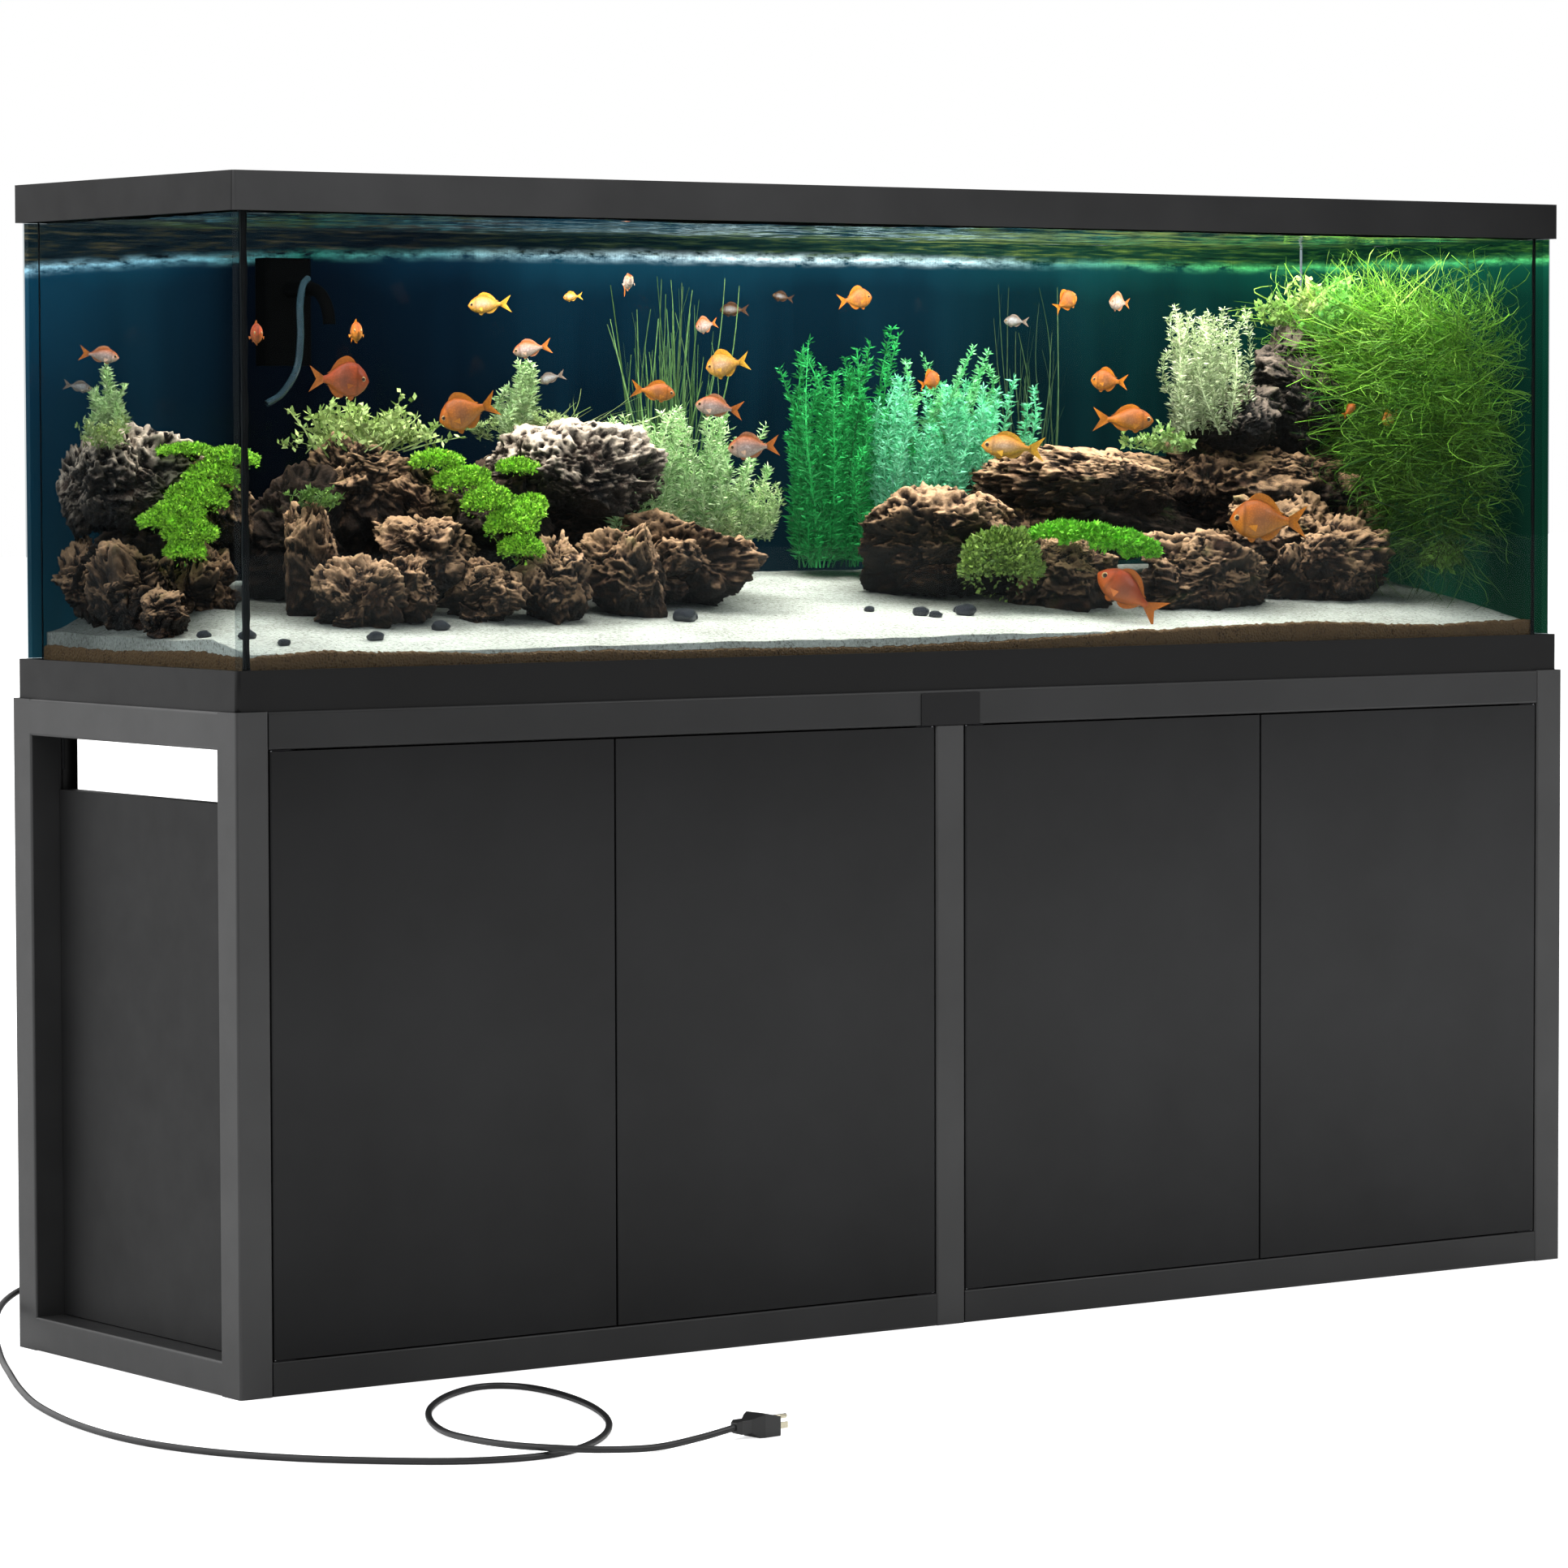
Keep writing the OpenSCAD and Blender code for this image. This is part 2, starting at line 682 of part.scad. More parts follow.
module lid_rods() {
    color("#a7aaad") for (s = [-1, 1]) mirror([s < 0 ? 1 : 0, 0, 0])
        translate([rod_start, lid_axis_y, lid_axis_z]) rotate([0, 90, 0])
            cylinder(h = rod_end - rod_start, r = lid_rod_r);
}

module light_bar() {
    color("#303236") translate([0, -40, flange_z - 7]) rotate([90, 0, 90])
        translate([0, 0, -mouth_l - 8]) linear_extrude(2 * mouth_l + 16) round_rect(60, 14, 3);
}

// A printed sheet on the outside of the back pane and of the right pane
film_t = 0.4;
module background_film() {
    low = stand_h + base_rim_h + 0.5;
    high = top_rim_z - 0.5;
    color("#0a3a86") {
        block([-glass_l + 2, glass_d, low], [glass_l - 2, glass_d + film_t, high]);
        block([glass_l, -glass_d + 2, low], [glass_l + film_t, glass_d - 2, high]);
    }
}

// ---------- inside the tank ----------

// Height of the sand at depth y: it rises evenly from the front to the back
function sand_at(y) =
    sand_front_z + (sand_back_z - sand_front_z) * (y + inside_d) / (2 * inside_d);

module soil_bed() {
    color("#cfc6b4") translate([-inside_l, 0, 0]) rotate([90, 0, 90])
        linear_extrude(2 * inside_l) polygon([
            [-inside_d, floor_z], [inside_d, floor_z],
            [inside_d, sand_back_z], [-inside_d, sand_front_z]]);
}

// One plain stone on the sand: an upright prism on a six-sided outline,
// from the low corner to the high corner in plan and up to a height
module stone(low, high, top) {
    cut = 0.22 * min(high.x - low.x, high.y - low.y);
    base = sand_at(high.y) + 0.4;
    translate([0, 0, base]) linear_extrude(top - base) polygon([
        [low.x + cut, low.y], [high.x, low.y], [high.x, high.y - cut],
        [high.x - cut, high.y], [low.x, high.y], [low.x, low.y + cut]]);
}
module rocks_left() {
    color("#6a6a66") {
        stone([-888, 40], [-665, 178], 1000);
        stone([-655, -20], [-540, 140], 1004);
        stone([-530, -20], [-435, 150], 950);
        stone([-425, -20], [-200, 160], 1016);
        stone([-190, -20], [-98, 100], 905);
        stone([-715, -112], [-575, -28], 872);
        stone([-545, -112], [-265, -28], 885);
    }
}
module rocks_right() {
    color("#6a6a66") {
        stone([66, -20], [250, 120], 935);
        stone([258, -10], [560, 150], 985);
        stone([568, 0], [708, 150], 1016);
        stone([716, 15], [862, 150], 1140);
        stone([258, -112], [790, -20], 884);
    }
}

// Submersed filter on the back pane, with its outlet and a curved hose
module filter_unit() {
    x = -600;
    outlet_z = 1165;
    hose_r = 40;
    color("#202224") {
        upright([x - 30, plant_y + 2, 1080], [x + 30, inside_d - 1, 1200], 6);
        translate([x, plant_y + 3, outlet_z]) rotate([90, 0, 0]) cylinder(h = 45, r = 9);
        translate([x, plant_y - 42, outlet_z - hose_r]) rotate([0, -90, 0]) rotate([0, 0, -90])
            rotate_extrude(angle = 90) translate([hose_r, 0]) circle(7);
    }
}

// Plain blocks where the planting stands: a row along the back pane
plant_y = 186;
module planting(low_x, high_x, top) {
    base = sand_back_z + 0.4;
    block([low_x, plant_y, base], [high_x, inside_d - 1, top]);
}
module plants_back() {
    color("#3f8f2f") {
        planting(-885, -660, 1080);
        planting(-280, -50, 1180);
        planting(60, 330, 1130);
        planting(395, 480, 1180);
        planting(560, 895, 1160);
    }
}

// The bush along the right pane, and a ball of moss before the right rocks
module plants_front() {
    color("#57b235") {
        upright([800, -208, sand_at(10) + 0.4], [895, 10, 1180], 20);
        upright([165, -110, sand_at(-25) + 0.4], [250, -25, 888], 20);
    }
}

// ---------- what is drawn ----------

end_frame_left();
end_frame_right();
front_top_rail();
rear_top_rail();
front_bottom_rails();
rear_bottom_rails();
centre_post_front();
centre_post_rear();
cross_braces();
corner_brackets();
bracket_screws();
side_panel_left();
side_panel_right();
panel_cleats();
back_panels();
floor_panels();
badge_plate();
door_1();
door_2();
door_3();
door_4();
door_fittings_1();
door_fittings_2();
door_fittings_3();
door_fittings_4();
hinge_leaves();
hinge_pins();
latch_housings();
latch_plunger_1();
latch_plunger_2();
latch_plunger_3();
latch_plunger_4();
strip_housing();
strip_outlets();
rocker_bezel();
rocker_switch();
strip_brackets();
strip_lead();
cord_gland();
power_cord();
plug_body();
plug_pins();
tank_base_rim();
glass_front();
glass_back();
glass_left();
glass_right();
glass_bottom();
tank_top_rim();
lid_left();
lid_right();
lid_rods();
light_bar();
background_film();
soil_bed();
rocks_left();
rocks_right();
filter_unit();
plants_back();
plants_front();
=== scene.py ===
import math

import bmesh
import bpy
import numpy as np
from mathutils import Matrix, Vector


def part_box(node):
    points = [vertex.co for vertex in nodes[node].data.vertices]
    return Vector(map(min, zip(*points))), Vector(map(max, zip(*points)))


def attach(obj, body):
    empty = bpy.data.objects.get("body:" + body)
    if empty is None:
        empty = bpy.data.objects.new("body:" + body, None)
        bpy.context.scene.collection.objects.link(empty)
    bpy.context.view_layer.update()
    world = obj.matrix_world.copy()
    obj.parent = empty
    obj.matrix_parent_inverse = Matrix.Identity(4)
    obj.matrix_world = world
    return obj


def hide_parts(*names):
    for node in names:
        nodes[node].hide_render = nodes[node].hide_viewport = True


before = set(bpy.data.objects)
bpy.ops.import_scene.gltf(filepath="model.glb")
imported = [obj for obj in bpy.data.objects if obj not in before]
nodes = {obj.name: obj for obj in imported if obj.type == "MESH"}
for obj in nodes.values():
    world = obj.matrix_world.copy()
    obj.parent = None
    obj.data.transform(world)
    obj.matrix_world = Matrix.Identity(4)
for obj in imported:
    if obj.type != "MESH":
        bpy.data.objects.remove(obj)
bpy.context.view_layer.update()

ROOT = "tank_and_stand"
MM = 0.001
scene = bpy.context.scene


# ---- camera
def camera():
    """The photo's camera, fitted to the corners of the stand and the tank."""
    target = Vector((-0.2296, -0.240, 0.6181))
    distance = 6.7426
    azimuth, elevation, roll = (math.radians(a) for a in (-35.562, 3.245, -0.158))
    toward = Vector((math.sin(azimuth) * math.cos(elevation),
                     -math.cos(azimuth) * math.cos(elevation), math.sin(elevation)))
    right = Vector((math.cos(azimuth), math.sin(azimuth), 0))
    up = toward.cross(right)
    right2 = right * math.cos(roll) + up * math.sin(roll)
    up2 = toward.cross(right2)
    data = bpy.data.cameras.new("camera")
    data.sensor_width = 36
    data.lens = 140.76
    data.clip_end = 100
    cam = bpy.data.objects.new("camera", data)
    at = target + toward * distance
    turn = Matrix((right2, up2, toward)).transposed().to_4x4()
    cam.matrix_world = Matrix.Translation(at) @ turn
    scene.collection.objects.link(cam)
    scene.camera = cam


# ---- meshes
def mesh_object(name, verts, faces, material, smooth=True, body=ROOT, colours=None):
    """A mesh from arrays; faces is an (n, 3) or (n, 4) array, or a list of such."""
    groups = faces if isinstance(faces, list) else [faces]
    groups = [np.asarray(g, np.int32) for g in groups if len(g)]
    verts = np.asarray(verts, np.float64)
    mesh = bpy.data.meshes.new(name)
    total = sum(len(g) for g in groups)
    loops = np.concatenate([g.ravel() for g in groups])
    sizes = np.concatenate([np.full(len(g), g.shape[1], np.int32) for g in groups])
    mesh.vertices.add(len(verts))
    mesh.vertices.foreach_set("co", verts.astype(np.float32).ravel())
    mesh.loops.add(len(loops))
    mesh.loops.foreach_set("vertex_index", loops.astype(np.int32))
    mesh.polygons.add(total)
    starts = np.concatenate([[0], np.cumsum(sizes)[:-1]]).astype(np.int32)
    mesh.polygons.foreach_set("loop_start", starts)
    mesh.polygons.foreach_set("loop_total", sizes)
    mesh.update(calc_edges=True)
    mesh.polygons.foreach_set("use_smooth", np.full(total, smooth))
    if colours is not None:
        colours = np.asarray(colours, np.float32)
        if colours.shape[1] == 3:
            colours = np.hstack([colours, np.ones((len(colours), 1), np.float32)])
        layer = mesh.color_attributes.new("tint", "FLOAT_COLOR", "POINT")
        layer.data.foreach_set("color", colours.ravel())
    mesh.validate()
    mesh.materials.append(material)
    obj = bpy.data.objects.new(name, mesh)
    scene.collection.objects.link(obj)
    if body:
        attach(obj, body)
    return obj


def grid_faces(rows, cols, wrap=False):
    """Quads of a grid of points in row order; wrap closes each row on itself."""
    span = cols if wrap else cols - 1
    r, c = np.meshgrid(np.arange(rows - 1), np.arange(span), indexing="ij")
    n = (c + 1) % cols
    quads = np.stack([r * cols + c, r * cols + n, (r + 1) * cols + n, (r + 1) * cols + c], -1)
    return quads.reshape(-1, 4)


class Gather:
    """Collects parts into one mesh, with a colour at each point when given."""

    def __init__(self):
        self.verts, self.faces, self.colours, self.count = [], [], [], 0

    def add(self, verts, faces, colours=None):
        verts = np.asarray(verts, float).reshape(-1, 3)
        self.verts.append(verts)
        self.faces.append(faces + self.count)
        self.count += len(verts)
        if colours is not None:
            self.colours.append(colours)

    def object(self, name, material, slot, scale=1.0):
        sizes = sorted({f.shape[1] for f in self.faces}, reverse=True)
        faces = [np.vstack([f for f in self.faces if f.shape[1] == size]) for size in sizes]
        obj = mesh_object(name, np.vstack(self.verts) * scale, faces, material,
                          colours=np.vstack(self.colours) if self.colours else None)
        return obj


def extruded(gather, section, axis_points, place, flip=False):
    """Adds a closed section swept along; place(point, a, b) gives each corner."""
    rows = [[place(p, a, b) for a, b in section] for p in axis_points]
    faces = grid_faces(len(axis_points), len(section), True)
    gather.add(rows, faces[:, ::-1] if flip else faces)


# ---- noise
def hashed(i, seed):
    """A number from 0 to 1 for each integer cell."""
    with np.errstate(over="ignore"):
        h = (i[..., 0].astype(np.uint32) * np.uint32(374761393)
             + i[..., 1].astype(np.uint32) * np.uint32(668265263)
             + i[..., 2].astype(np.uint32) * np.uint32(2246822519)
             + np.uint32(seed * 3266489917 % 4294967296))
        h = (h ^ (h >> np.uint32(13))) * np.uint32(1274126177)
        h = h ^ (h >> np.uint32(16))
    return h.astype(np.float64) / 4294967295.0


def value_noise(p, seed):
    """Smooth noise from -1 to 1."""
    cell = np.floor(p).astype(np.int64)
    f = p - cell
    u = f * f * (3 - 2 * f)
    out = np.zeros(p.shape[:-1])
    for d in np.ndindex(2, 2, 2):
        w = np.prod(np.where(np.array(d), u, 1 - u), axis=-1)
        out += w * hashed(cell + np.array(d), seed)
    return out * 2 - 1


def fbm(p, octaves=4, seed=0, gain=0.5, ridged=False):
    """Layers of noise, each twice as fine and weaker by gain; ridged has sharp crests."""
    total, amp, norm = 0, 1.0, 0
    for k in range(octaves):
        n = value_noise(p * 2.03 ** k + 17.3 * k, seed + k)
        total = total + amp * ((1 - 2 * np.abs(n)) if ridged else n)
        norm += amp
        amp *= gain
    return total / norm


# ---- materials
class Shade:
    """A node material with a few shorthands."""

    def __init__(self, name):
        self.mat = bpy.data.materials.new(name)
        self.mat.use_nodes = True
        self.tree = self.mat.node_tree
        self.bsdf = self.tree.nodes["Principled BSDF"]
        self.out = self.tree.nodes["Material Output"]
        self.coord = self.node("ShaderNodeNewGeometry").outputs["Position"]

    def node(self, kind, **values):
        n = self.tree.nodes.new(kind)
        for key, value in values.items():
            setattr(n, key, value)
        return n

    def link(self, a, b):
        self.tree.links.new(a, b)

    def noise(self, scale, detail=3.0, rough=0.5, stretch=(1, 1, 1)):
        n = self.node("ShaderNodeTexNoise")
        n.inputs["Scale"].default_value = scale
        n.inputs["Detail"].default_value = detail
        n.inputs["Roughness"].default_value = rough
        where = self.coord
        if stretch != (1, 1, 1):
            m = self.node("ShaderNodeMapping")
            m.inputs["Scale"].default_value = stretch
            self.link(where, m.inputs["Vector"])
            where = m.outputs["Vector"]
        self.link(where, n.inputs["Vector"])
        return n.outputs["Fac"]

    def cells(self, scale, feature="F1"):
        n = self.node("ShaderNodeTexVoronoi", feature=feature)
        n.inputs["Scale"].default_value = scale
        self.link(self.coord, n.inputs["Vector"])
        return n.outputs["Distance"]

    def ramp(self, fac, stops):
        r = self.node("ShaderNodeValToRGB")
        e = r.color_ramp.elements
        while len(e) < len(stops):
            e.new(0.5)
        for k, (at, colour) in enumerate(stops):
            e[k].position = at
            e[k].color = (*colour, 1) if len(colour) == 3 else colour
        self.link(fac, r.inputs["Fac"])
        return r.outputs["Color"]

    def grey(self, fac, lo, hi, a=0.0, b=1.0):
        m = self.node("ShaderNodeMapRange")
        for key, value in zip(("From Min", "From Max", "To Min", "To Max"), (lo, hi, a, b)):
            m.inputs[key].default_value = value
        self.link(fac, m.inputs["Value"])
        return m.outputs["Result"]

    def feed(self, pairs):
        """Gives each socket a number, a colour or a link."""
        for socket, value in pairs:
            if isinstance(value, (int, float)):
                socket.default_value = value
            elif isinstance(value, tuple):
                socket.default_value = (*value, 1)
            else:
                self.link(value, socket)

    def mix(self, fac, a, b, blend="MIX"):
        m = self.node("ShaderNodeMix", data_type="RGBA", blend_type=blend)
        self.feed(zip((m.inputs[0], m.inputs[6], m.inputs[7]), (fac, a, b)))
        return m.outputs[2]

    def math(self, op, a, b=None, clamp=False):
        m = self.node("ShaderNodeMath", operation=op, use_clamp=clamp)
        self.feed(zip(m.inputs, (a,) if b is None else (a, b)))
        return m.outputs[0]

    def axes(self, what="Position"):
        """X, Y and Z of the place or the normal."""
        split = self.node("ShaderNodeSeparateXYZ")
        self.link(self.node("ShaderNodeNewGeometry").outputs[what], split.inputs[0])
        return split.outputs

    def along(self):
        """From 0 at the left end of the tank to 1 at its right end."""
        return self.grey(self.axes()[0], -0.93, 0.93)

    def tint(self):
        return self.node("ShaderNodeVertexColor", layer_name="tint").outputs["Color"]

    def bump(self, height, distance, strength=1.0, under=None):
        b = self.node("ShaderNodeBump")
        b.inputs["Strength"].default_value = strength
        b.inputs["Distance"].default_value = distance
        self.link(height, b.inputs["Height"])
        if under is not None:
            self.link(under, b.inputs["Normal"])
        self.link(b.outputs["Normal"], self.bsdf.inputs["Normal"])
        return b.outputs["Normal"]

    def set(self, **values):
        names = {"base": "Base Color", "rough": "Roughness", "metal": "Metallic",
                 "spec": "Specular IOR Level", "coat": "Coat Weight",
                 "coat_rough": "Coat Roughness", "glow": "Emission Color",
                 "glow_strength": "Emission Strength"}
        self.feed((self.bsdf.inputs[names[key]], value) for key, value in values.items())
        return self

    def surface(self, fac, a, b):
        """Mixes two shaders into the output."""
        both = self.node("ShaderNodeMixShader")
        self.feed(((both.inputs[0], fac), (both.inputs[1], a), (both.inputs[2], b)))
        self.link(both.outputs[0], self.out.inputs["Surface"])


def plain(name, low, high, scale, rough, spec, bump, detail=3, cells=False):
    """A mottled material; bump is its scale, depth and strength."""
    s = Shade(name)
    s.set(base=s.mix(s.noise(scale, detail), low, high), rough=rough, spec=spec)
    bump_scale, depth, strength, bump_detail = bump
    s.bump(s.cells(bump_scale) if cells else s.noise(bump_scale, bump_detail), depth, strength)
    return s


def coated(name, base, rough, grain=900, grain_depth=0.00006, spec=0.5, front=None,
           sheen=None):
    """Powder coat or moulded plastic: fine grain, faint clouding, handling marks.
    front lightens the faces to the front by its two factors, left end to right end: painted light.
    sheen is the low and high Z between which those faces are lightest halfway up: a painted sheen."""
    s = Shade(name)
    colour = s.mix(s.grey(s.noise(7, 4), 0.3, 0.7), tuple(c * 0.8 for c in base),
                   tuple(c * 1.25 for c in base))
    # Painted light: faces to the front are lighter, by a factor that changes from the left end to the right
    # end.
    if front:
        ahead = s.math("LESS_THAN", s.axes("Normal")[1], -0.5)
        painted_front_light = s.grey(s.axes()[0], -0.92, 0.92, front[0] - 1, front[1] - 1)
        gain = s.math("ADD", s.math("MULTIPLY", ahead, painted_front_light), 1.0)
        # Painted sheen: those faces are darkest at the low and high Z and lightest halfway up.
        if sheen:
            off = s.math("ABSOLUTE", s.grey(s.axes()[2], *sheen, -1.0, 1.0))
            gain = s.math("MULTIPLY", gain, s.grey(s.math("POWER", off, 1.6), 0, 1, 1.0, 0.62))
        colour = s.mix(1.0, colour, gain, "MULTIPLY")
        spec = s.math("MULTIPLY", gain, spec)
    s.set(base=colour, spec=spec,
          rough=s.grey(s.noise(23, 5, 0.6), 0.25, 0.75, rough - 0.06, rough + 0.06))
    s.bump(s.noise(grain, 2), grain_depth, 0.5)
    return s.mat


def metal(name, base, rough, stretch=(1, 1, 30)):
    s = Shade(name)
    brushed = s.noise(400, 3, 0.6, stretch)
    s.set(base=s.mix(brushed, tuple(c * 0.75 for c in base), base), metal=1.0,
          rough=s.grey(brushed, 0.2, 0.8, rough - 0.08, rough + 0.1))
    s.bump(brushed, 0.00003, 0.4)
    return s.mat


def glass_material(name, tint, gloss):
    """A pane: clear straight through, with a reflection that grows at a glance."""
    s = Shade(name)
    s.tree.nodes.remove(s.bsdf)
    clear = s.node("ShaderNodeBsdfTransparent")
    clear.inputs["Color"].default_value = (*tint, 1)
    shine = s.node("ShaderNodeBsdfGlossy")
    shine.inputs["Color"].default_value = (*gloss, 1)
    shine.inputs["Roughness"].default_value = 0.01
    slant = s.node("ShaderNodeLayerWeight")
    slant.inputs["Blend"].default_value = 0.5
    glance = s.math("POWER", slant.outputs["Facing"], 5.0)
    s.surface(s.grey(glance, 0, 1, 0.04, 1.0), clear.outputs[0], shine.outputs[0])
    return s.mat


def water_material():
    """The water's surface: a mirror from below and at a glance, clear from above;
    its coloured ripples and glints are a painted reflection that glows."""
    s = Shade("water_surface")
    clear = s.node("ShaderNodeBsdfTransparent")
    clear.inputs["Color"].default_value = (0.86, 0.95, 0.96, 1)
    along = s.along()
    # Painted reflection: the colours the surface mirrors from below, changing along the tank.
    crest = s.ramp(along, [(0.0, (0.05, 0.06, 0.07)), (0.10, (0.10, 0.15, 0.03)),
                           (0.24, (0.09, 0.05, 0.025)), (0.40, (0.14, 0.17, 0.09)),
                           (0.52, (0.28, 0.42, 0.12)), (0.66, (0.62, 0.74, 0.18)),
                           (0.80, (0.52, 0.66, 0.12)), (1.0, (0.05, 0.16, 0.04))])
    trough = s.ramp(along, [(0.0, (0.002, 0.006, 0.012)), (0.5, (0.004, 0.018, 0.02)),
                            (1.0, (0.002, 0.012, 0.006))])
    reflection_streak = s.noise(15, 6, 0.68, (0.8, 2.2, 1))
    colour = s.mix(s.grey(reflection_streak, 0.47, 0.72), trough, crest)
    # Painted glints on the ripples.
    painted_glint = s.grey(s.noise(24, 5, 0.7, (0.7, 3.0, 1)), 0.62, 0.74, 0, 0.8)
    colour = s.mix(painted_glint, colour, (0.42, 0.52, 0.36))
    # The ripples glow as painted reflection.
    s.set(base=(0.003, 0.012, 0.016), rough=0.08, spec=0.6, glow=colour, glow_strength=0.85)
    fresnel = s.node("ShaderNodeFresnel")
    fresnel.inputs["IOR"].default_value = 1.33
    s.surface(fresnel.outputs["Fac"], clear.outputs[0], s.bsdf.outputs[0])
    return s.mat


def film_material():
    """The printed background, glowing: deep blue water as painted light that brightens
    just under the waterline, painted light beams, painted shade behind the filter,
    painted light at the ends, a painted sparkling line, and a painted reflection of
    ripples above it; plain dark on its outside."""
    s = Shade("background_film")
    x, _, z = s.axes()
    # Painted light: the water glows deep blue and brightens towards the waterline.
    cloud = s.noise(5.5, 4, 0.55, (1, 1, 0.8))
    depth = s.math("ADD", z, s.grey(cloud, 0, 1, -0.05, 0.05))
    water = s.ramp(s.grey(depth, 0.79, 1.22), [
        (0.0, (0.003, 0.012, 0.016)), (0.25, (0.002, 0.010, 0.016)),
        (0.6, (0.002, 0.015, 0.028)), (0.88, (0.004, 0.032, 0.058)),
        (1.0, (0.010, 0.085, 0.14))])
    # Painted light beams.
    painted_light_beams = s.noise(9, 3, 0.5, (1, 1, 0.12))
    water = s.mix(s.grey(painted_light_beams, 0.45, 0.8, 0, 0.35), water, (0.012, 0.07, 0.11), "ADD")
    # Painted shade and light along the tank: dark behind the filter, lighter at both ends, greener at the
    # right.
    sides = s.ramp(s.along(), [
        (0.0, (2.0, 2.2, 2.2)), (0.04, (1.4, 1.7, 1.7)), (0.08, (0.8, 0.95, 0.95)),
        (0.13, (0.3, 0.42, 0.48)), (0.155, (0.04, 0.05, 0.08)), (0.20, (0.05, 0.07, 0.12)),
        (0.25, (0.20, 0.22, 0.28)), (0.31, (0.4, 0.42, 0.5)), (0.37, (1.0, 1.0, 1.0)),
        (0.66, (1.1, 1.1, 1.0)), (0.9, (0.9, 1.5, 0.7)), (1.0, (0.7, 1.6, 0.5))])
    water = s.mix(1.0, water, sides, "MULTIPLY")
    # Painted reflection of rippled water above the waterline, in colours that change along the tank.
    painted_reflection_ripple = s.noise(30, 5, 0.65, (0.6, 1, 9))
    above = s.ramp(painted_reflection_ripple, [(0.3, (0.003, 0.012, 0.02)), (0.5, (0.010, 0.045, 0.06)),
                            (0.62, (0.08, 0.13, 0.07)), (0.8, (0.35, 0.45, 0.34))])
    above = s.mix(1.0, above, s.ramp(s.along(), [
        (0.0, (0.9, 0.5, 0.5)), (0.28, (0.25, 0.15, 0.2)), (0.5, (0.45, 0.5, 0.4)),
        (0.7, (2.2, 2.0, 1.0)), (0.85, (1.8, 2.0, 0.7)), (1.0, (0.4, 1.0, 0.3))]), "MULTIPLY")
    # A painted sparkling line along the waterline, brightest in places along the tank.
    drop = s.grey(s.math("POWER", s.grey(x, 0.0, -0.9), 3.0), 0, 1, 0, 0.026)
    line_z = s.math("ADD", s.math("ADD", z, drop), s.grey(s.noise(14, 3), 0, 1, -0.004, 0.004))
    colour = s.mix(s.grey(line_z, 1.208, 1.213), water, above)
    near = s.math("SUBTRACT", 1.0, s.grey(
        s.math("ABSOLUTE", s.math("SUBTRACT", line_z, 1.210)), 0.0, 0.011), clamp=True)
    painted_sparkle = s.math("MULTIPLY", s.math("POWER", near, 2.0),
                   s.grey(s.noise(26, 4, 0.7, (1, 1, 3)), 0.38, 0.62))
    along = s.ramp(s.along(), [
        (0.0, (0.9, 1.5, 1.8)), (0.13, (0.3, 0.7, 0.8)), (0.20, (0.05, 0.35, 0.25)),
        (0.30, (0.2, 0.5, 0.5)), (0.44, (1.4, 1.8, 1.9)), (0.53, (2.6, 3.0, 3.0)),
        (0.69, (2.2, 2.8, 2.8)), (0.77, (0.2, 0.5, 0.45)), (0.93, (0.2, 1.1, 0.3))])
    line = s.mix(1.0, along, s.mix(painted_sparkle, (0, 0, 0), (1, 1, 1)), "MULTIPLY")
    glow = s.mix(1.0, colour, line, "ADD")
    face = s.axes("Normal")
    inward = s.math("LESS_THAN", s.math("MINIMUM", face[0], face[1]), -0.5)
    glow = s.mix(inward, (0, 0, 0), glow)
    base = s.mix(inward, (0.003, 0.004, 0.005), (0.0002, 0.0003, 0.0004))
    # The film's inner face glows: painted light.
    s.set(base=base, rough=0.7, spec=0.02, glow=glow, glow_strength=1.35)
    return s.mat


def rock_material(name, dark, mid, light, gritty):
    """Porous stone: cavities painted dark as shade and crests painted light as a
    highlight, over the stone's own tone; tint's red is the height of the surface
    there, which carries that painted shade and highlight, and its green is a patch
    of growth."""
    s = Shade(name)
    tint = s.node("ShaderNodeSeparateColor")
    s.link(s.tint(), tint.inputs[0])
    painted_shade_level, growth = tint.outputs[0], tint.outputs[1]
    grain = s.noise(180, 6, 0.7)
    patch = s.noise(28, 4, 0.6)
    level = s.math("ADD", painted_shade_level, s.grey(grain, 0.2, 0.8, -0.22, 0.22))
    colour = s.ramp(level, [(0.22, dark), (0.52, mid), (0.88, light)])
    warm = tuple(c * f for c, f in zip(mid, (1.5, 0.95, 0.7)))
    colour = s.mix(s.grey(patch, 0.5, 0.75, 0, 0.6), colour, warm)
    pale = s.grey(s.noise(700, 2), 0.62, 0.75, 0, gritty)
    colour = s.mix(pale, colour, (0.5, 0.46, 0.4))
    moss = s.mix(s.noise(300, 3), (0.03, 0.07, 0.012), (0.10, 0.2, 0.03))
    colour = s.mix(growth, colour, moss)
    # Painted top light: faces that look up lighter, faces that look down darker.
    lit = s.grey(s.axes("Normal")[2], -0.40, 0.80, 0.10, 1.55)
    colour = s.mix(1.0, colour, lit, "MULTIPLY")
    s.set(base=colour, spec=0.35, rough=s.grey(grain, 0.2, 0.8, 0.6, 0.95))
    first = s.bump(s.cells(260), 0.0016, 0.7)
    s.bump(grain, 0.0022, 0.8, first)
    return s.mat


